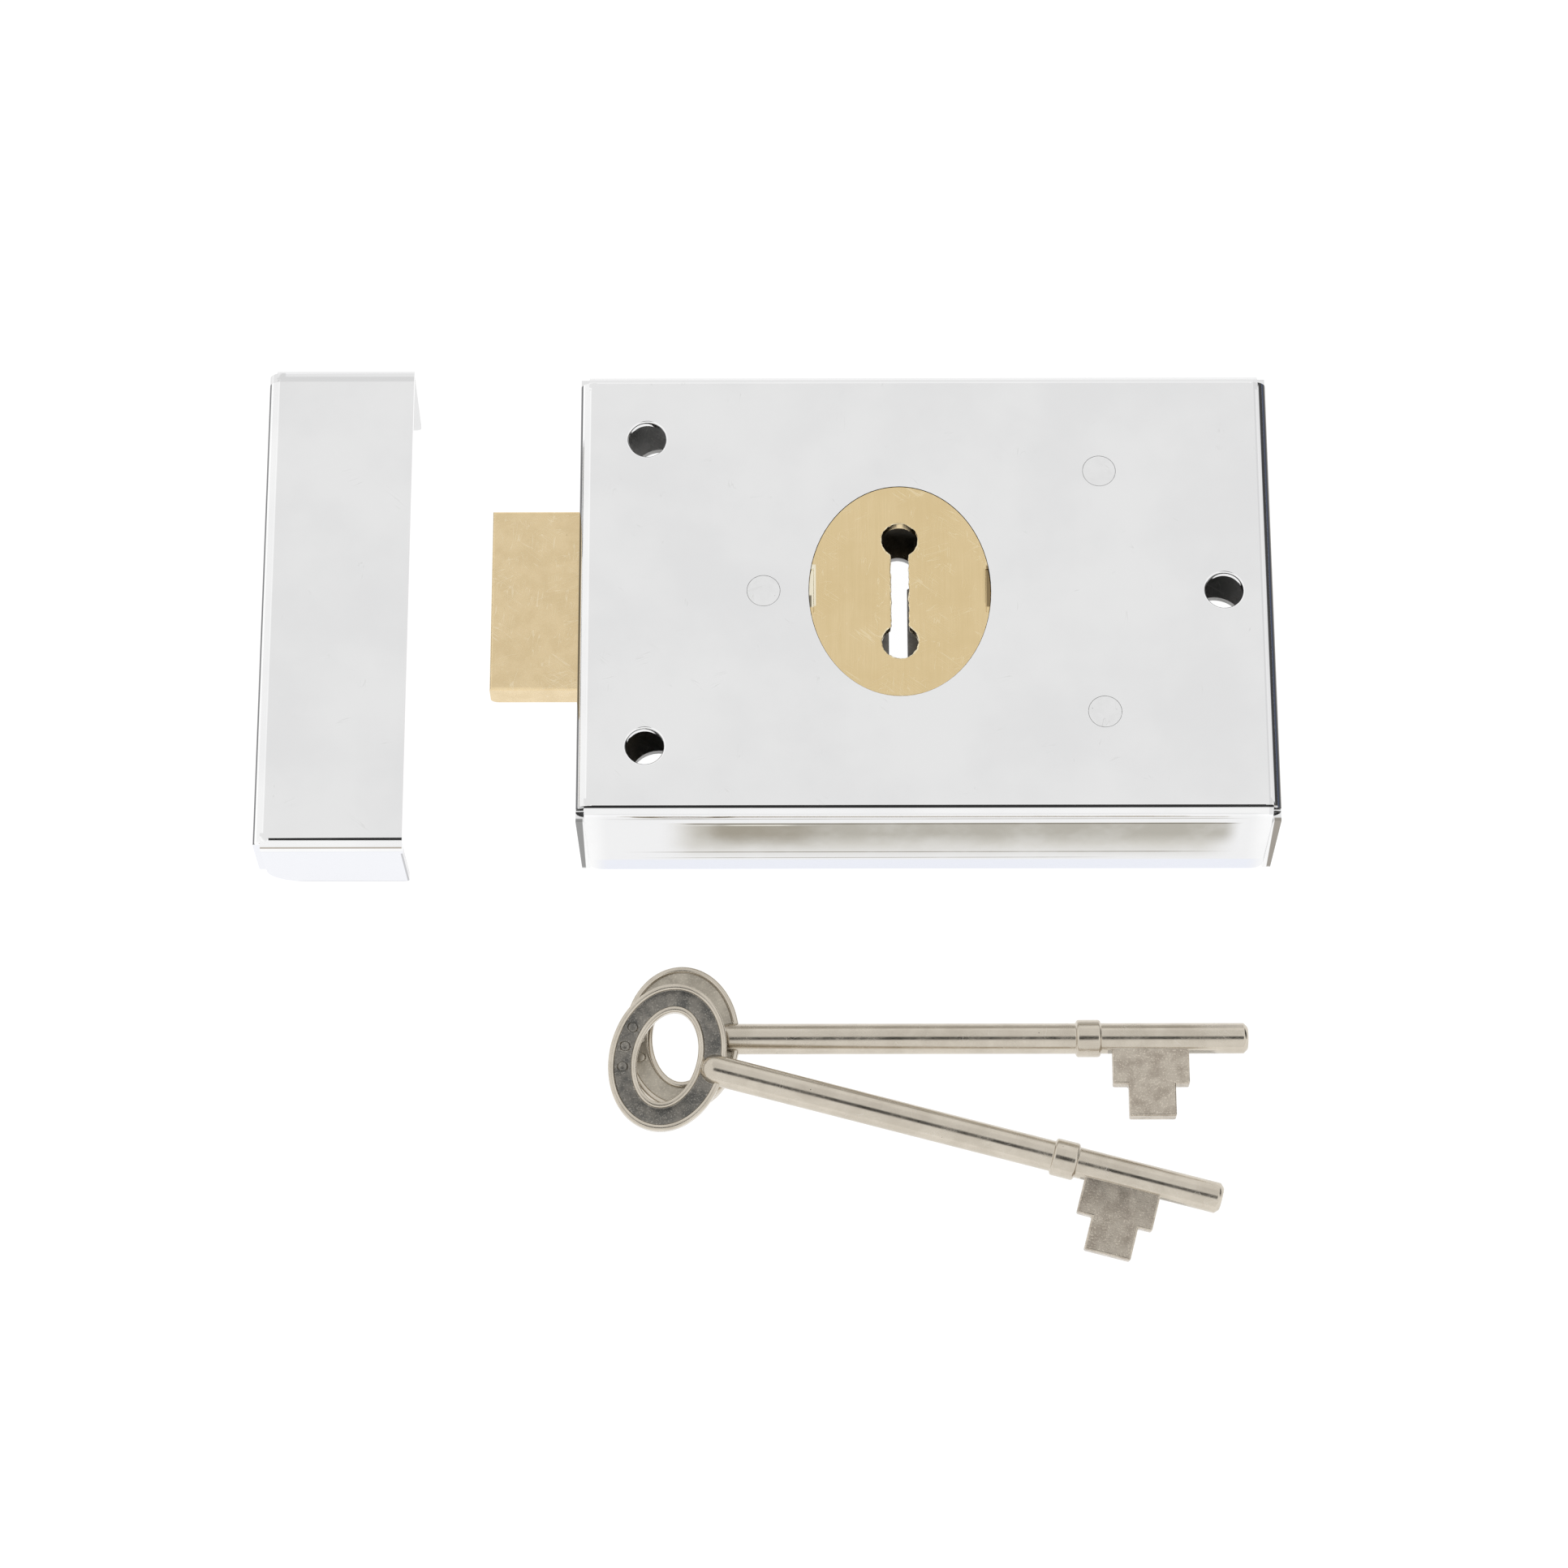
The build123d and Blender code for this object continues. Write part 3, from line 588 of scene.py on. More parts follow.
def lathe(name: str, profile: Sequence[tuple[float, float]], steps: int, place: Matrix) -> bpy.types.Object:
    """Turn a profile of (distance along, radius) points, in millimetres, about local X.

    Args:
        name: the object's name.
        profile: points from one end to the other; the ends lie on the axis.
        steps: how many facets go round.
        place: where the local frame lies, in metres.

    Returns:
        A closed turned object.
    """
    work = bmesh.new()
    rings: list[list[bmesh.types.BMVert]] = []
    for along, radius in profile:
        count = 1 if radius < 1e-6 else steps
        ring = []
        for index in range(count):
            turn = 2 * math.pi * index / steps
            point = Vector((along, radius * math.cos(turn), radius * math.sin(turn))) * MM
            ring.append(work.verts.new(place @ point))
        rings.append(ring)
    for ring, after in zip(rings, rings[1:]):
        for index in range(steps):
            after_index = (index + 1) % steps
            corners = [ring[index % len(ring)], ring[after_index % len(ring)]]
            corners += [after[after_index % len(after)], after[index % len(after)]]
            unique = list(dict.fromkeys(corners))
            if len(unique) > 2:
                work.faces.new(unique)
    bmesh.ops.recalc_face_normals(work, faces=work.faces)
    return plain_object(name, mesh_from(name, work))


class NodeGarden:
    """Geometry Nodes trees: copies on points, a ring swept along an oval, and a ragged burr along an edge."""

    @staticmethod
    def _tree(name: str, inputs: Sequence[tuple[str, str, Any]]) -> tuple[bpy.types.NodeTree, NodeAdder]:
        """A geometry tree with named inputs.

        Args:
            name: the tree's name.
            inputs: (name, socket type, value or None) for each size.

        Returns:
            The tree, and a function that adds a node with its settings and inputs.
        """
        tree = bpy.data.node_groups.new(name, "GeometryNodeTree")
        tree.interface.new_socket("Geometry", in_out="INPUT", socket_type="NodeSocketGeometry")
        for label, kind, value in inputs:
            socket = tree.interface.new_socket(label, in_out="INPUT", socket_type=kind)
            if value is not None:
                socket.default_value = value
        tree.interface.new_socket("Geometry", in_out="OUTPUT", socket_type="NodeSocketGeometry")
        return tree, NodeSheet(tree).add

    @staticmethod
    def _finish(add: NodeAdder, shape: Any, finish: Any) -> None:
        """End a tree: real geometry, its material, out."""
        real = add("GeometryNodeRealizeInstances", {}, {0: shape})
        dressed = add("GeometryNodeSetMaterial", {}, {"Geometry": real.outputs[0], "Material": finish})
        add("NodeGroupOutput", {}, {0: dressed.outputs[0]})

    @staticmethod
    def run(
        source: bpy.types.Object, tree: bpy.types.NodeTree, values: Mapping[str, Any], name: str,
    ) -> bpy.types.Object:
        """Run a tree on an object and keep the result as a plain mesh.

        Args:
            source: the object whose own mesh the tree starts from.
            tree: the tree.
            values: a value for each named input.
            name: the new object's name.

        Returns:
            The new object.
        """
        modifier = source.modifiers.new("make", "NODES")
        modifier.node_group = tree
        for item in tree.interface.items_tree:
            if item.item_type == "SOCKET" and item.in_out == "INPUT" and item.name in values:
                modifier[item.identifier] = values[item.name]
        return baked(source, name)

    @classmethod
    def copies(cls) -> bpy.types.NodeTree:
        """Copies of a template on each point, as the pips are.

        Returns:
            The tree.
        """
        tree, add = cls._tree(
            "copies_on_points",
            (
                ("Template", "NodeSocketObject", None), ("Scale", "NodeSocketFloat", 1.0),
                ("Finish", "NodeSocketMaterial", None),
            ),
        )
        start = add("NodeGroupInput")
        info = add(
            "GeometryNodeObjectInfo", {"transform_space": "ORIGINAL"}, {"Object": start.outputs["Template"]},
        )
        points = add("GeometryNodeMeshToPoints", {}, {"Mesh": start.outputs["Geometry"]})
        placed = add(
            "GeometryNodeInstanceOnPoints",
            {},
            {
                "Points": points.outputs[0], "Instance": info.outputs["Geometry"],
                "Scale": start.outputs["Scale"],
            },
        )
        cls._finish(add, placed.outputs[0], start.outputs["Finish"])
        return tree

    @classmethod
    def oval_ring(cls) -> bpy.types.NodeTree:
        """A closed section, drawn as the object's own outline, swept along an oval.

        Returns:
            The tree.
        """
        tree, add = cls._tree(
            "oval_ring",
            (
                ("Half Width", "NodeSocketFloat", 0.006), ("Half Height", "NodeSocketFloat", 0.009),
                ("Steps", "NodeSocketInt", 96), ("Finish", "NodeSocketMaterial", None),
            ),
        )
        start = add("NodeGroupInput")
        circle = add(
            "GeometryNodeCurvePrimitiveCircle", {"mode": "RADIUS"},
            {"Resolution": start.outputs["Steps"], "Radius": 1.0},
        )
        size = add(
            "ShaderNodeCombineXYZ", {},
            {0: start.outputs["Half Width"], 1: start.outputs["Half Height"], 2: 1.0},
        )
        where = add("GeometryNodeInputPosition")
        oval = add(
            "ShaderNodeVectorMath", {"operation": "MULTIPLY"}, {0: where.outputs[0], 1: size.outputs[0]},
        )
        path = add(
            "GeometryNodeSetPosition", {},
            {"Geometry": circle.outputs["Curve"], "Position": oval.outputs[0]},
        )
        section = add("GeometryNodeMeshToCurve", {}, {"Mesh": start.outputs["Geometry"]})
        swept = add(
            "GeometryNodeCurveToMesh", {}, {"Curve": path.outputs[0], "Profile Curve": section.outputs[0]},
        )
        cls._finish(add, swept.outputs[0], start.outputs["Finish"])
        return tree

    @classmethod
    def burr(cls) -> bpy.types.NodeTree:
        """A thin ragged bead along the object's own outline, with a fixed seed.

        Returns:
            The tree.
        """
        tree, add = cls._tree(
            "ragged_burr",
            (
                ("Step", "NodeSocketFloat", 0.0002), ("Radius", "NodeSocketFloat", 0.0001),
                ("Wander", "NodeSocketFloat", 0.0001), ("Seed", "NodeSocketFloat", 3.0),
                ("Finish", "NodeSocketMaterial", None),
            ),
        )
        start = add("NodeGroupInput")
        line = add("GeometryNodeMeshToCurve", {}, {"Mesh": start.outputs["Geometry"]})
        even = add(
            "GeometryNodeResampleCurve", {"mode": "LENGTH"},
            {"Curve": line.outputs[0], "Length": start.outputs["Step"]},
        )
        where = add("GeometryNodeInputPosition")
        fine = add(
            "ShaderNodeTexNoise",
            {"noise_dimensions": "4D"},
            {"Vector": where.outputs[0], "W": start.outputs["Seed"], "Scale": 1300.0, "Detail": 2.0},
        )
        centred = add(
            "ShaderNodeVectorMath", {"operation": "SUBTRACT"},
            {0: fine.outputs["Color"], 1: (0.5, 0.5, 0.5)},
        )
        flat = add(
            "ShaderNodeVectorMath", {"operation": "MULTIPLY"}, {0: centred.outputs[0], 1: (1.0, 1.0, 0.0)},
        )
        shift = add(
            "ShaderNodeVectorMath", {"operation": "SCALE"},
            {0: flat.outputs[0], "Scale": start.outputs["Wander"]},
        )
        loose = add("GeometryNodeSetPosition", {}, {"Geometry": even.outputs[0], "Offset": shift.outputs[0]})
        coarse = add(
            "ShaderNodeTexNoise",
            {"noise_dimensions": "4D"},
            {"Vector": where.outputs[0], "W": start.outputs["Seed"], "Scale": 600.0, "Detail": 3.0},
        )
        spread = add(
            "ShaderNodeMapRange", {},
            {"Value": coarse.outputs[0], "From Min": 0.35, "From Max": 0.68, "To Min": 0.25, "To Max": 1.25},
        )
        bead = add(
            "GeometryNodeCurvePrimitiveCircle", {"mode": "RADIUS"},
            {"Resolution": 8, "Radius": start.outputs["Radius"]},
        )
        swept = add(
            "GeometryNodeCurveToMesh", {},
            {
                "Curve": loose.outputs[0], "Profile Curve": bead.outputs["Curve"],
                "Scale": spread.outputs["Result"],
            },
        )
        cls._finish(add, swept.outputs[0], start.outputs["Finish"])
        return tree


def outline_object(name: str, points: Sequence[Vector]) -> bpy.types.Object:
    """An object that holds one closed outline as edges."""
    mesh = bpy.data.meshes.new(name)
    count = len(points)
    mesh.from_pydata([tuple(p) for p in points], [(i, (i + 1) % count) for i in range(count)], [])
    return plain_object(name, mesh)


def points_object(name: str, points: Sequence[Sequence[float]]) -> bpy.types.Object:
    """An object that holds loose points."""
    mesh = bpy.data.meshes.new(name)
    mesh.from_pydata([tuple(p) for p in points], [], [])
    return plain_object(name, mesh)


def mount(piece: bpy.types.Object, body: str, slot: str, *nodes: str) -> None:
    """Put a finished piece on its body, in place of its CAD nodes."""
    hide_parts(*nodes)
    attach(piece, body)
    LOG.info("%s rides on %s, %d faces", piece.name, body, len(piece.data.polygons))


# ---------------------------------------------------------------- sub-assemblies


@dataclass(frozen=True)
class EdgedPart:
    """A part whose form comes from its CAD node, with its cut edges eased and its finish put on."""

    node: str
    name: str
    body: str
    slot: str
    finish: Metal
    edge: float = 0.12 * MM
    segments: int = 2
    sharp: float = 40.0

    def build(self, shelf: FinishShelf) -> bpy.types.Object:
        """Make the piece and put it on its body.

        Args:
            shelf: where its material comes from.

        Returns:
            The piece.
        """
        work = bmesh.new()
        work.from_mesh(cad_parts[self.node].data)
        bmesh.ops.remove_doubles(work, verts=work.verts, dist=2 * UM)
        bmesh.ops.dissolve_limit(work, angle_limit=math.radians(0.6), verts=work.verts, edges=work.edges)
        bmesh.ops.triangulate(work, faces=[face for face in work.faces if len(face.verts) > 4])
        source = plain_object(self.name + "_blank", mesh_from(self.name, work))
        add_bevel(source, self.edge, self.segments, self.sharp)
        piece = baked(source, self.name)
        piece.data.materials.clear()
        piece.data.materials.append(shelf.get(self.finish))
        mount(piece, self.body, self.slot, self.node)
        return piece


@dataclass
class Lock:
    """The lock: folded case, brass keyhole plate, cap plate, pillars, wards and levers."""

    body: str = "lock"
    plate_lip: float = 2.0 * MM
    key_axis: float = 8.2 * MM
    keyhole_radius: float = 2.8 * MM
    slot_half: float = 1.4 * MM
    burr_radius: float = 0.15 * MM
    burr_rise: float = 0.04 * MM
    parts: tuple[EdgedPart, ...] = (
        EdgedPart("case", "case_shell", "lock", "case_chrome", PLATED_SHEET, 0.14 * MM, 3),
        EdgedPart("keyhole_plate", "keyhole_insert", "lock", "plate_brass", BRUSHED_BRASS, 0.12 * MM, 3),
        EdgedPart("cap_plate", "back_cap", "lock", "cap_steel", ZINC_STEEL, 0.15 * MM),
        *(
            EdgedPart(f"pillar_{side}", f"rivet_{side}", "lock", "pillar_steel", PLATED_RIVET, 0.26 * MM, 4)
            for side in ("left", "upper", "lower")
        ),
        EdgedPart("bolt_guide_post", "guide_post", "lock", "pillar_steel", OILED_STEEL),
        EdgedPart("lever_spacers", "spacer_rings", "lock", "inner_steel", OILED_STEEL, 0.1 * MM),
        EdgedPart("guide_ring", "tail_ring", "lock", "inner_steel", OILED_STEEL, 0.1 * MM),
        EdgedPart("front_ward", "ward_front", "lock", "inner_steel", OILED_STEEL, 0.1 * MM),
        EdgedPart("rear_ward", "ward_rear", "lock", "inner_steel", OILED_STEEL, 0.1 * MM),
        *(
            EdgedPart(f"lever_{at}", f"lever_{letter}", f"lever_{at}", "lever_brass", LEVER_BRASS, 0.08 * MM)
            for at, letter in (
                ("upper_front", "a"), ("upper_rear", "b"), ("lower_front", "c"), ("lower_rear", "d"),
            )
        ),
    )

    def build(self, shelf: FinishShelf) -> None:
        """Make every part of the lock."""
        # The case and the plate get tints that paint reflections, highlights and shade.
        painted_lights = {"case": self._case_painted_light(), "keyhole_plate": self._plate_painted_light()}
        for part in self.parts:
            if part.node in painted_lights:
                finish = replace(part.finish, name=part.name + "_metal", painted_lights=painted_lights[part.node])
                part = replace(part, finish=finish)
            part.build(shelf)
        self._burr(shelf)

    @staticmethod
    def _case_painted_light() -> tuple[PaintedLight, ...]:
        """Painted reflections on the front wall, with a painted highlight line, and painted dark lines along
        the side bends and wall ends.

        Returns:
            The painted tints, placed from the case's own box.
        """
        low, high = (Vector(c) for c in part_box("case"))
        middle = (low.x + high.x) / 2
        wall = (low.y - 1 * MM, low.y + 3.2 * MM)

        def band(
            ends: tuple[float, float], heights: tuple[float, float], colour: Colour, amount: float,
            soft: tuple[float, float], ragged: float = 0.0,
        ) -> PaintedLight:
            """A painted reflection or highlight band on the front wall, in millimetres from the lock's middle
            and from the floor.
            """
            return PaintedLight(
                (middle + ends[0] * MM, wall[0], heights[0] * MM),
                (middle + ends[1] * MM, wall[1], heights[1] * MM),
                colour, amount, (soft[0] * MM, 0.05 * MM, soft[1] * MM), ragged, 0.18 * MM,
            )

        def line(start: float, stop: float, foot: float, top: float, colour: Colour, amount: float) -> PaintedLight:
            """A painted dark reflection line along a side bend, in metres across and millimetres up."""
            return PaintedLight((start, low.y, foot * MM), (stop, high.y - 0.8 * MM, top * MM), colour, amount)

        def wall_end(start: float, stop: float, colour: Colour) -> PaintedLight:
            """A painted shade wedge at the front end of a short wall, in metres across."""
            near, far = (start, low.y - MM, 0.5 * MM), (stop, low.y + 2.4 * MM, 16.2 * MM)
            return PaintedLight(near, far, colour, 0.85, (0.1 * MM, 0.3 * MM, 0.8 * MM))

        return (
            # Painted reflections on the front wall: a grey wash, beige and brown bands, a dark bulge, and
            # grey and dark lines.
            band((-50.0, 50.0), (-1.0, 17.4), (0.79, 0.79, 0.795), 0.85, (3.0, 0.3)),
            band((-40.0, 46.5), (2.0, 15.2), (0.56, 0.54, 0.49), 0.90, (7.0, 7.0), 0.25),
            band((-33.0, 46.2), (7.0, 15.0), (0.36, 0.34, 0.29), 0.80, (3.0, 5.0), 0.25),
            band((-38.0, -12.0), (6.0, 14.2), (0.28, 0.25, 0.19), 0.80, (9.0, 6.0), 0.15),
            band((-49.0, 48.0), (16.1, 16.5), (0.40, 0.39, 0.36), 0.75, (8.0, 0.15), 0.3),
            band((-37.0, 46.5), (14.55, 15.0), (0.12, 0.10, 0.07), 0.85, (3.0, 0.15), 0.2),
            # A painted highlight line under the dark line.
            band((-31.0, -19.0), (14.15, 14.5), (1.00, 0.97, 0.88), 0.90, (3.0, 0.15)),
            band((-46.0, 46.5), (5.4, 5.85), (0.20, 0.18, 0.14), 0.80, (14.0, 0.18), 0.3),
            band((-44.0, 30.0), (3.6, 3.95), (0.22, 0.20, 0.15), 0.75, (14.0, 0.18), 0.3),
            # A painted bluish reflection along the foot of the wall.
            band((-50.0, 50.5), (-1.0, 3.2), (0.77, 0.79, 0.86), 0.9, (3.0, 0.4)),
            # Painted reflection: the face is greyer along its far edge and its right edge.
            PaintedLight(
                (low.x, high.y - 3.4 * MM, 16.4 * MM), (high.x, high.y + MM, high.z + MM),
                (0.775, 0.775, 0.775), 0.9, (0.3 * MM, 0.3 * MM, 0.3 * MM),
            ),
            PaintedLight(
                (high.x - 2.0 * MM, low.y, 17.0 * MM), (high.x, high.y, high.z + MM),
                (0.76, 0.76, 0.765), 0.9,
            ),
            # Painted dark reflections along the left and right side bends.
            line(low.x - MM, low.x + 0.42 * MM, 16.4, 17.8, (0.05, 0.05, 0.055), 0.94),
            line(high.x - 0.72 * MM, high.x + MM, 16.3, 18.4, (0.02, 0.035, 0.085), 0.96),
            line(high.x - 0.52 * MM, high.x + MM, 16.3, 18.0, (0.02, 0.02, 0.02), 0.95),
            line(high.x - 0.22 * MM, high.x + MM, 16.3, 17.6, (0.12, 0.085, 0.045), 0.90),
            # Painted shade on the front ends of the short walls.
            wall_end(low.x - MM, low.x + 1.1 * MM, (0.16, 0.16, 0.155)),
            wall_end(high.x - 1.1 * MM, high.x + MM, (0.20, 0.17, 0.13)),
        )

    def _plate_painted_light(self) -> tuple[PaintedLight, ...]:
        """The staking notches at the plate's left and right edges, as painted highlights and painted shade.

        Returns:
            The painted tints, placed from the plate's own box.
        """
        low, high = (Vector(c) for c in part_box("keyhole_plate"))
        middle = (low.y + high.y) / 2
        left = low.x + self.plate_lip
        right = high.x - self.plate_lip
        soft = (0.12 * MM, 0.3 * MM, 0.3 * MM)

        def stake(x: float, width: float, foot: float, top: float, colour: Colour, amount: float) -> PaintedLight:
            """A painted highlight or shade at an edge, in millimetres from the plate's middle."""
            return PaintedLight(
                (x, middle + foot * MM, high.z - MM), (x + width * MM, middle + top * MM, high.z + MM),
                colour, amount, soft,
            )

        return (
            # Left notch: a painted highlight with painted shade at its foot; right notch: painted shade with
            # a paler painted shade beside it.
            stake(left - 0.1 * MM, 1.25, -2.6, 4.4, (0.95, 0.90, 0.74), 0.85),
            stake(left - 0.1 * MM, 0.60, -2.6, -0.4, (0.10, 0.08, 0.05), 0.85),
            stake(right - 0.75 * MM, 0.85, -2.6, 4.2, (0.20, 0.14, 0.07), 0.88),
            stake(right - 1.15 * MM, 0.50, -2.2, 3.8, (0.62, 0.49, 0.28), 0.6),
        )

    def _keyhole_outline(self) -> list[Vector]:
        """The keyhole's edge on the plate's front, anticlockwise.

        Returns:
            Points in metres.
        """
        low, high = (Vector(c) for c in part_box("keyhole_plate"))
        centre = (low + high) / 2
        top = high.z + self.burr_rise - self.burr_radius * 1.25
        dip = math.asin(self.slot_half / self.keyhole_radius)
        points: list[Vector] = []
        for side in (1, -1):
            for index in range(33):
                turn = side * math.pi / 2 + (index / 16 - 1) * (math.pi - dip)
                x = centre.x + self.keyhole_radius * math.cos(turn)
                y = centre.y + side * self.key_axis + self.keyhole_radius * math.sin(turn)
                points.append(Vector((x, y, top)))
        return points

    def _burr(self, shelf: FinishShelf) -> None:
        """The ragged bead of brass that keys have raised round the keyhole."""
        outline = outline_object("keyhole_edge", self._keyhole_outline())
        values = {
            "Step": 0.16 * MM, "Radius": self.burr_radius, "Wander": 0.42 * MM, "Seed": 7.0,
            "Finish": shelf.get(BURRED_BRASS),
        }
        piece = NodeGarden.run(outline, NodeGarden.burr(), values, "keyhole_burr")
        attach(piece, self.body)
        LOG.info("keyhole_burr rides on %s, %d faces", self.body, len(piece.data.polygons))


@dataclass
class Bolt:
    """The bolt: brass head, steel tail, its two rivets and two stumps."""

    parts: tuple[EdgedPart, ...] = (
        EdgedPart("bolt_head", "bolt_block", "bolt", "bolt_brass", CAST_BRASS, 0.15 * MM, 3),
        EdgedPart("bolt_tail", "bolt_plate", "bolt", "tail_steel", OILED_STEEL, 0.12 * MM),
        EdgedPart("bolt_rivets", "bolt_pins", "bolt", "bolt_brass", CAST_BRASS, 0.1 * MM),
        EdgedPart("bolt_stumps", "stump_pins", "bolt", "pillar_steel", OILED_STEEL, 0.1 * MM),
    )

    def build(self, shelf: FinishShelf) -> None:
        """Make every part of the bolt."""
        for part in self.parts:
            part.build(shelf)


@dataclass
class Keep:
    """The box keep that takes the bolt."""

    part: EdgedPart = EdgedPart("keep", "keep_box", "keep", "keep_chrome", PLATED_SHEET, 0.14 * MM, 3)

    def build(self, shelf: FinishShelf) -> None:
        """Make the keep, with painted reflections and painted shade: a dark line along its outer bend, a
        greyer far end wall and tinted front edges.
        """
        low, high = (Vector(c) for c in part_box("keep"))
        soft = (0.3 * MM, 0.3 * MM, 0.3 * MM)
        left, right, front, back = low.x - MM, high.x + MM, low.y - MM, high.y + MM
        wall = low.y + 2.6 * MM
        edge = (high.x - 0.35 * MM, front, 0.0)
        bend = (low.x + MM, low.y + 0.2 * MM, 16.3 * MM)
        # Painted dark reflection along the left bend, painted shade on the far end wall, a painted bluish
        # reflection on the front, painted shade along the foot and the right edge, a painted brown reflection
        # under the front bend.
        painted_lights = (
            PaintedLight(
                (left, low.y, 15.9 * MM), (low.x + 0.42 * MM, high.y, 17.1 * MM), (0.05, 0.05, 0.055), 0.94,
            ),
            PaintedLight(
                (left, high.y - 2.6 * MM, -MM), (right, back, high.z + MM), (0.75, 0.75, 0.752), 0.9, soft,
            ),
            PaintedLight((left, front, -MM), (right, wall, 16.0 * MM), (0.81, 0.82, 0.865), 0.9, soft),
            PaintedLight((left, front, -MM), (right, wall, 0.45 * MM), (0.52, 0.52, 0.55), 0.7, soft),
            PaintedLight(edge, (right, wall, 15.0 * MM), (0.35, 0.35, 0.37), 0.8),
            PaintedLight(bend, (high.x, low.y + 2.4 * MM, 16.75 * MM), (0.28, 0.23, 0.17), 0.8),
        )
        finish = replace(self.part.finish, name="keep_metal", painted_lights=painted_lights)
        replace(self.part, finish=finish).build(shelf)


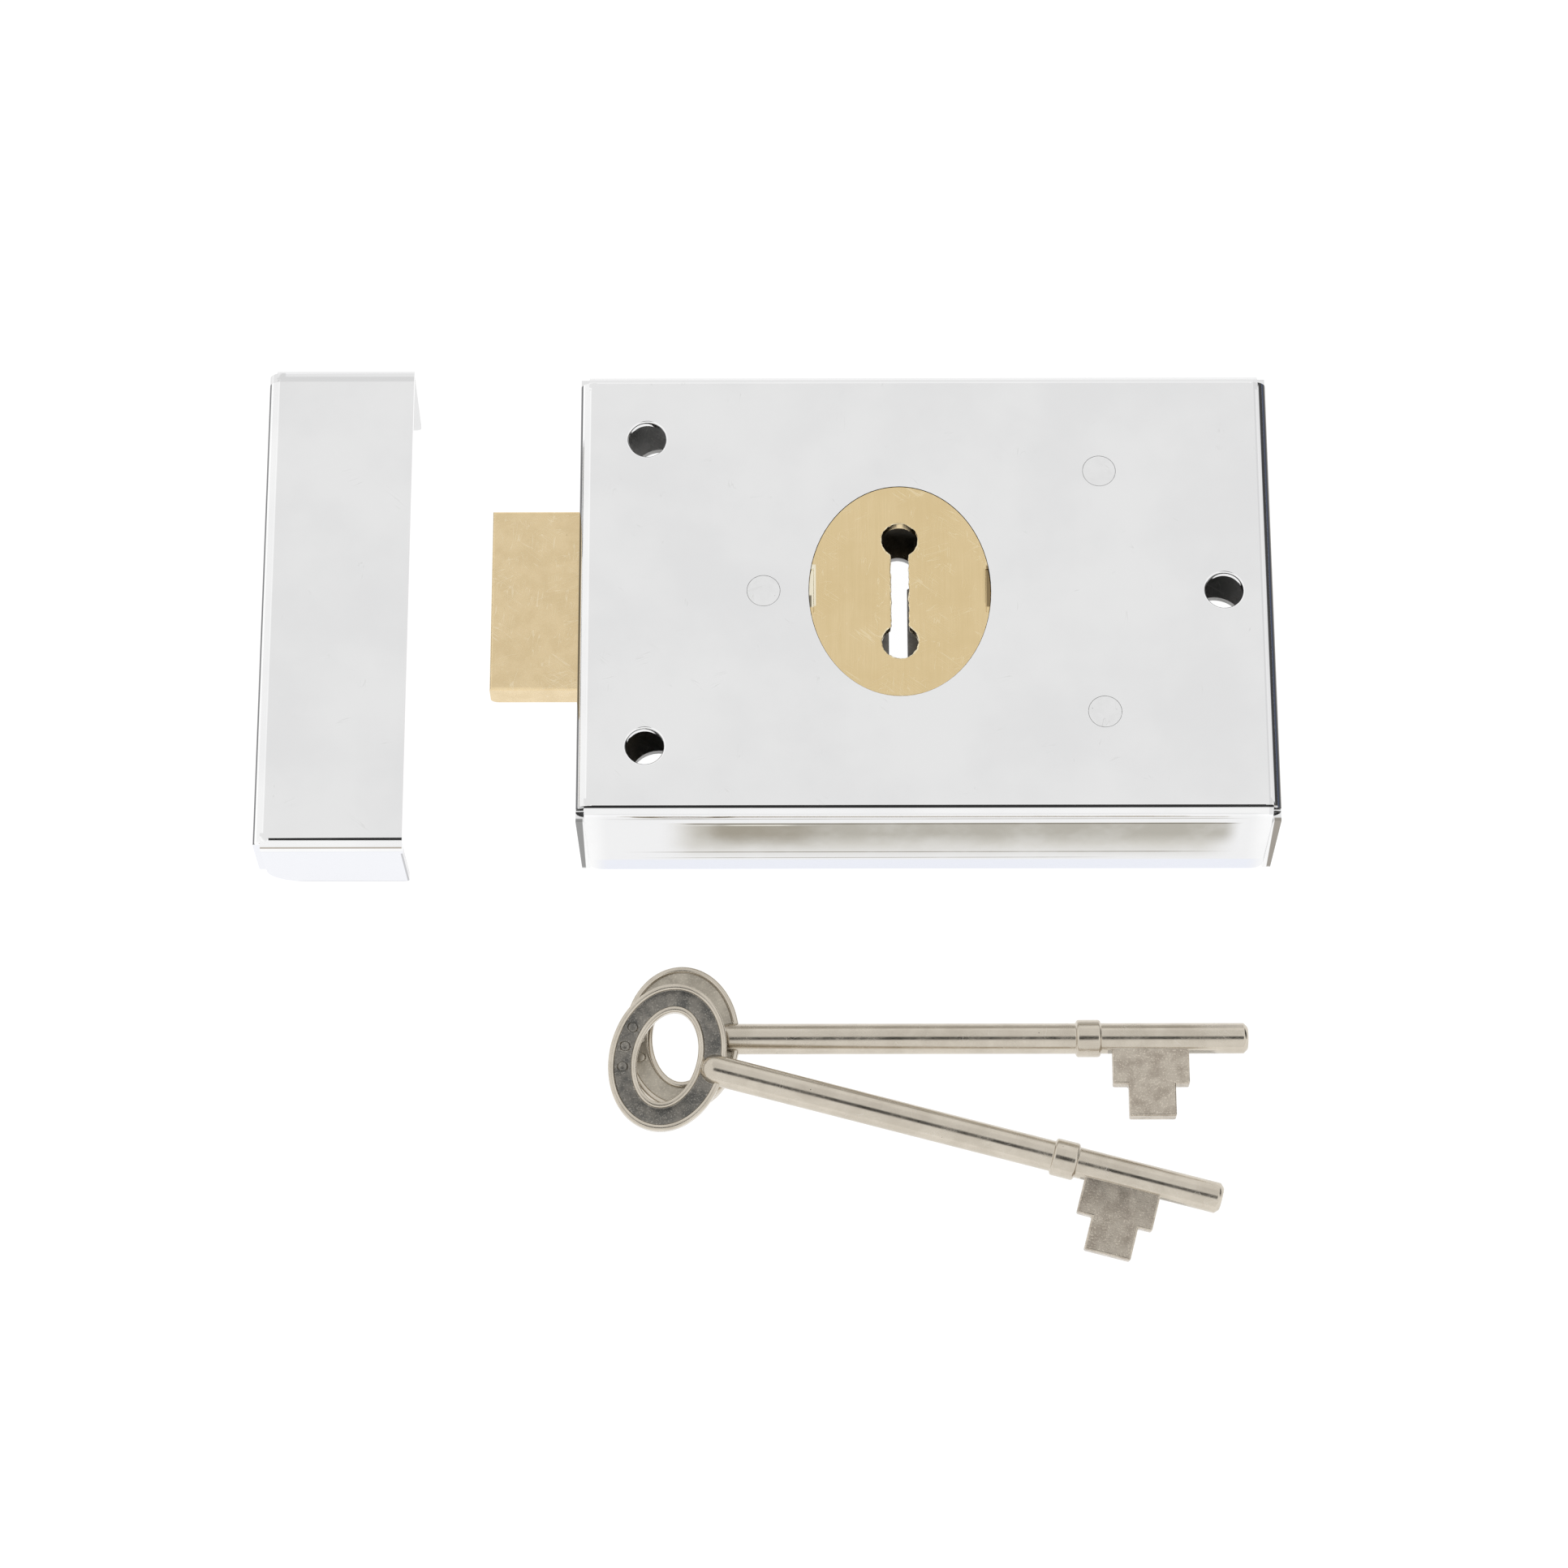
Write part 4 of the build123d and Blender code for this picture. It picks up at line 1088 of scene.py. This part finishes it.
@dataclass
class Key:
    """A stepped-bit key: oval bow with a sunk web, turned shank with a collar, double-stepped bit."""

    body: str
    node: str
    lie: Lie
    recess: Metal
    length: float = 91.7
    bow_half_w: float = 8.5
    bow_half_h: float = 11.0
    hole_half_w: float = 4.3
    hole_half_h: float = 6.5
    bow_half_t: float = 1.0
    recess_depth: float = 0.4
    rim: float = 0.9
    shank_r: float = 2.25
    shank_start: float = 13.4
    collar_r: float = 2.75
    collar: tuple[float, float] = (66.4, 70.05)
    bit: tuple[tuple[float, float], ...] = (
        (71.7, 0.0), (71.7, -7.25), (74.0, -7.25), (74.0, -12.2),
        (80.9, -12.2), (80.9, -7.25), (82.95, -7.25), (82.95, 0.0),
    )
    bit_half_t: float = 1.1
    pip_angles: tuple[float, ...] = (160.0, 180.0, 200.0)
    pip_r: float = 0.72
    turn: float = -14.15
    roll: float = 7.8
    rest_gap: float = 0.35
    propped_tip: tuple[float, float] = (42.3, -89.65)
    flat_tip: tuple[float, float] = (46.9, -65.2)

    def build(self, shelf: FinishShelf) -> bpy.types.Object:
        """Make the key and put it on its body.

        Args:
            shelf: where its materials come from.

        Returns:
            The key.
        """
        place = self._place()
        bow = self._bow(shelf)
        shank = self._shank(shelf)
        bit = self._bit(shelf)
        pips = self._pips(shelf)
        for tool in (shank, bit, pips):
            union = bow.modifiers.new("union", "BOOLEAN")
            union.operation = "UNION"
            union.solver = "EXACT"
            union.object = tool
        weighted = bow.modifiers.new("normals", "WEIGHTED_NORMAL")
        weighted.keep_sharp = True
        piece = baked(bow, self.body)
        for tool in (shank, bit, pips):
            bpy.data.objects.remove(tool)
        piece.data.transform(place)
        piece.data.update()
        mount(piece, self.body, "key_nickel", self.node)
        return piece

    def _place(self) -> Matrix:
        """Where the key's own frame lies, in metres.

        Returns:
            The matrix from the key's frame, with the bow's left end at the origin and the shank along +X.
        """
        low, high = (Vector(c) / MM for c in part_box("case"))
        lock = (low + high) / 2
        tip = self.flat_tip if self.lie is Lie.FLAT else self.propped_tip
        lean, turn, roll = 0.0, 0.0, 0.0
        tip_z = self.collar_r
        if self.lie is Lie.PROPPED:
            rise = self.collar_r + self.rest_gap + self.bow_half_t
            lean = math.asin(rise / (self.length - self.shank_start))
            turn, roll = math.radians(self.turn), math.radians(self.roll)
            tip_z = self.shank_r * math.cos(lean)
        along = Vector((math.cos(turn) * math.cos(lean), math.sin(turn) * math.cos(lean), -math.sin(lean)))
        side = Vector((-math.sin(turn), math.cos(turn), 0.0))
        level = along.cross(side)
        up = level * math.cos(roll) - side * math.sin(roll)
        across = up.cross(along)
        end = Vector((lock.x + tip[0], lock.y + tip[1], tip_z))
        start = (end - along * self.length) * MM
        turned = Matrix((along, across, up)).transposed().to_4x4()
        return Matrix.Translation(start) @ turned

    def _section(self) -> list[Vector]:
        """The bow's section, in metres: two rounded rims with a sunk web between them.

        Returns:
            Points of a closed outline, x across the section and y through its thickness.
        """
        half = (self.bow_half_w - self.hole_half_w) / 2
        top = self.bow_half_t
        floor = top - self.recess_depth
        crown = half - self.rim / 2
        web = crown - self.rim / 2
        upper: list[tuple[float, float]] = [(half, 0.35 * top)]
        for index in range(9):
            turn = math.pi * index / 8
            height = floor + self.recess_depth * math.sin(turn) ** 0.7
            upper.append((crown + self.rim / 2 * math.cos(turn), height))
        upper += [(web - 0.12, floor - 0.02), (0.3 * web, floor - 0.03)]
        quarter = upper + [(-x, y) for x, y in reversed(upper)]
        whole = quarter + [(-x, -y) for x, y in quarter]
        return [Vector((x, y, 0.0)) * MM for x, y in whole]

    def _bow(self, shelf: FinishShelf) -> bpy.types.Object:
        """The bow ring, swept along an oval; its sunk web gets the key's recess finish: painted shade on the
        front key, a lighter tone on the back key.
        """
        mid_w = (self.bow_half_w + self.hole_half_w) / 2
        width = self.bow_half_w - self.hole_half_w
        mid_h = self.bow_half_h - width / 2
        section = outline_object(self.body + "_section", self._section())
        values = {
            "Half Width": mid_w * MM, "Half Height": mid_h * MM, "Steps": 120,
            "Finish": shelf.get(KEY_NICKEL),
        }
        bow = NodeGarden.run(section, NodeGarden.oval_ring(), values, self.body + "_bow")
        bow.data.transform(Matrix.Translation((self.bow_half_w * MM, 0.0, 0.0)))
        work = bmesh.new()
        work.from_mesh(bow.data)
        bmesh.ops.remove_doubles(work, verts=work.verts, dist=1 * UM)
        bmesh.ops.recalc_face_normals(work, faces=work.faces)
        web = (self.bow_half_t - self.recess_depth * 0.9) * MM
        for face in work.faces:
            face.smooth = True
            flat = abs(face.normal.z) > 0.8
            face.material_index = 1 if flat and abs(face.calc_center_median().z) < web else 0
        work.to_mesh(bow.data)
        work.free()
        bow.data.materials.append(shelf.get(self.recess))
        bow.data.materials.append(shelf.get(KEY_BIT))
        return bow

    def _shank(self, shelf: FinishShelf) -> bpy.types.Object:
        """The turned shank with its round end, collar and chamfered tip."""
        r, c = self.shank_r, self.collar_r
        first, last = self.collar
        profile = [
            (self.shank_start + r * (1 - math.cos(math.radians(t))), r * math.sin(math.radians(t)))
            for t in range(0, 91, 10)
        ]
        profile += [(x, r) for x in (30.0, 45.0, 60.0)]
        step = ((-0.12, r), (0.0, r + 0.06), (0.06, c - 0.22), (0.2, c - 0.05), (0.42, c))
        profile += [(first + x, radius) for x, radius in step]
        profile += [(last - x, radius) for x, radius in reversed(step)]
        end = self.length
        tip = ((0.75, 0.0), (0.6, 0.03), (0.1, 0.52), (0.02, 0.66), (0.0, 0.85), (0.0, r))
        profile += [(end - x, r - drop) for x, drop in tip]
        shank = lathe(self.body + "_shank", profile, 64, Matrix.Identity(4))
        shank.data.materials.append(shelf.get(KEY_NICKEL))
        return shank

    def _bit(self, shelf: FinishShelf) -> bpy.types.Object:
        """The stepped bit with rounded edges."""
        work = bmesh.new()
        corners = [work.verts.new(Vector((x, y, -self.bit_half_t)) * MM) for x, y in self.bit]
        face = work.faces.new(corners)
        raised = bmesh.ops.extrude_face_region(work, geom=[face])
        lifted = [item for item in raised["geom"] if isinstance(item, bmesh.types.BMVert)]
        bmesh.ops.translate(work, verts=lifted, vec=Vector((0.0, 0.0, 2 * self.bit_half_t * MM)))
        bmesh.ops.recalc_face_normals(work, faces=work.faces)
        source = plain_object(self.body + "_bit_blank", mesh_from(self.body + "_bit", work))
        add_bevel(source, 0.28 * MM, 4, 30.0)
        bit = baked(source, self.body + "_bit")
        bit.data.materials.append(shelf.get(KEY_BIT))
        return bit

    def _pips(self, shelf: FinishShelf) -> bpy.types.Object:
        """Three low round pips on the bow's web."""
        web = self.bow_half_t - self.recess_depth
        rise = self.recess_depth * 0.8
        dome = ((0.5, 1.0), (0.85, 0.8), (1.0, 0.4), (1.0, 0.0))
        profile = [(-0.2, 0.0), (-0.2, self.pip_r)] + [(rise * up, self.pip_r * out) for up, out in dome]
        upright = Matrix.Rotation(-math.pi / 2, 4, "Y")
        template = lathe(self.body + "_pip", profile, 20, upright)
        mid_w = (self.bow_half_w + self.hole_half_w) / 2
        mid_h = (self.bow_half_h + self.hole_half_h) / 2
        spots = []
        for angle in self.pip_angles:
            turn = math.radians(angle)
            across = self.bow_half_w + mid_w * math.cos(turn)
            spots.append((across * MM, mid_h * math.sin(turn) * MM, web * MM))
        points = points_object(self.body + "_pip_points", spots)
        values = {"Template": template, "Scale": 1.0, "Finish": shelf.get(self.recess)}
        pips = NodeGarden.run(points, NodeGarden.copies(), values, self.body + "_pips")
        bpy.data.objects.remove(template)
        return pips


# ---------------------------------------------------------------- studio


@dataclass(frozen=True)
class Zone:
    """A soft round patch of the studio's surroundings."""

    towards: tuple[float, float, float]
    full: float
    fade: float
    level: float


@dataclass
class Studio:
    """The light table, the soft surroundings and the camera over the set."""

    table_half: float = 5.0
    table_glow: float = 0.98
    dome: float = 1.02
    zones: tuple[Zone, ...] = (
        Zone((0.0, 0.42, 0.91), 17.0, 27.0, 0.81),
        Zone((0.0, -0.24, 0.97), 9.0, 15.5, 0.03),
        Zone((0.93, 0.36, 0.08), 20.0, 30.0, 0.07),
    )
    lens: float = 117.4
    distance: float = 0.750
    tilt: float = 21.3
    roll: float = -0.1
    aim_offset: tuple[float, float] = (-21.2 * MM, -30.9 * MM)

    def build(self) -> None:
        """Make the table, the light and the camera."""
        bpy.context.scene.view_settings.view_transform = "Standard"
        self._table()
        self._surroundings()
        self._softbox()
        self._camera()

    def _table(self) -> None:
        """The pale table, lit from inside like a light table."""
        work = bmesh.new()
        bmesh.ops.create_grid(work, x_segments=2, y_segments=2, size=self.table_half)
        table = plain_object("light_table", mesh_from("light_table", work, smooth=False))
        table.location.z = -0.05 * MM
        made = bpy.data.materials.new("table_glass")
        made.use_nodes = True
        sheet = NodeSheet(made.node_tree)
        surface = sheet.add(
            "ShaderNodeBsdfPrincipled",
            {},
            {
                "Base Color": (0.10, 0.10, 0.10, 1.0), "Roughness": 0.6, "Specular IOR Level": 0.2,
                "Emission Color": (1.0, 1.0, 1.0, 1.0), "Emission Strength": self.table_glow,
            },
        )
        sheet.add("ShaderNodeOutputMaterial", {}, {"Surface": surface.outputs["BSDF"]})
        table.data.materials.append(made)

    def _surroundings(self) -> None:
        """A pale room for the metal to mirror, greyer above, with dark patches overhead and to the right."""
        world = bpy.data.worlds.new("studio_room")
        world.use_nodes = True
        bpy.context.scene.world = world
        sheet = NodeSheet(world.node_tree)
        towards = sheet.add("ShaderNodeTexCoord").outputs["Generated"]
        level: Any = self.dome
        for zone in self.zones:
            axis = Vector(zone.towards).normalized()
            fade, full = (math.cos(math.radians(angle)) for angle in (zone.fade, zone.full))
            mask = sheet.dot(towards, axis).rises(fade, full)
            level = mask * (zone.level - level) + level
        back = sheet.add("ShaderNodeBackground", {}, {"Color": (1.0, 1.0, 1.0, 1.0), "Strength": level})
        sheet.add("ShaderNodeOutputWorld", {}, {"Surface": back.outputs[0]})

    def _softbox(self) -> None:
        """A large weak soft box above the far side."""
        light = bpy.data.lights.new("softbox", "AREA")
        light.shape = "RECTANGLE"
        light.size, light.size_y = 2.6, 2.0
        light.energy = 1.2
        box = bpy.data.objects.new("softbox", light)
        bpy.context.scene.collection.objects.link(box)
        spot = Vector((0.0, 0.80, 2.05))
        box.matrix_world = Matrix.Translation(spot) @ spot.to_track_quat("Z", "Y").to_matrix().to_4x4()

    def _camera(self) -> None:
        """The camera, high over the set and leaning back a little."""
        low, high = (Vector(c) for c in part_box("case"))
        middle = (low + high) / 2
        aim = Vector((middle.x + self.aim_offset[0], middle.y + self.aim_offset[1], high.z))
        tilt = math.radians(self.tilt)
        back = Vector((0.0, -math.sin(tilt), math.cos(tilt)))
        camera = bpy.data.cameras.new("camera")
        camera.lens = self.lens
        camera.sensor_width = 36.0
        camera.clip_start = 0.01
        camera.clip_end = 30.0
        holder = bpy.data.objects.new("camera", camera)
        bpy.context.scene.collection.objects.link(holder)
        facing = Matrix.Rotation(tilt, 4, "X") @ Matrix.Rotation(math.radians(self.roll), 4, "Z")
        holder.matrix_world = Matrix.Translation(aim + back * self.distance) @ facing
        bpy.context.scene.camera = holder


def main() -> None:
    logging.basicConfig(level=logging.INFO, format="%(name)s: %(message)s")
    shelf = FinishShelf()
    Lock().build(shelf)
    Bolt().build(shelf)
    Keep().build(shelf)
    Key("key_back", "key_back", Lie.FLAT, KEY_RECESS_LIT).build(shelf)
    Key("key_front", "key_front", Lie.PROPPED, KEY_RECESS_SHADED).build(shelf)
    Studio().build()


if __name__ == "__main__":
    main()
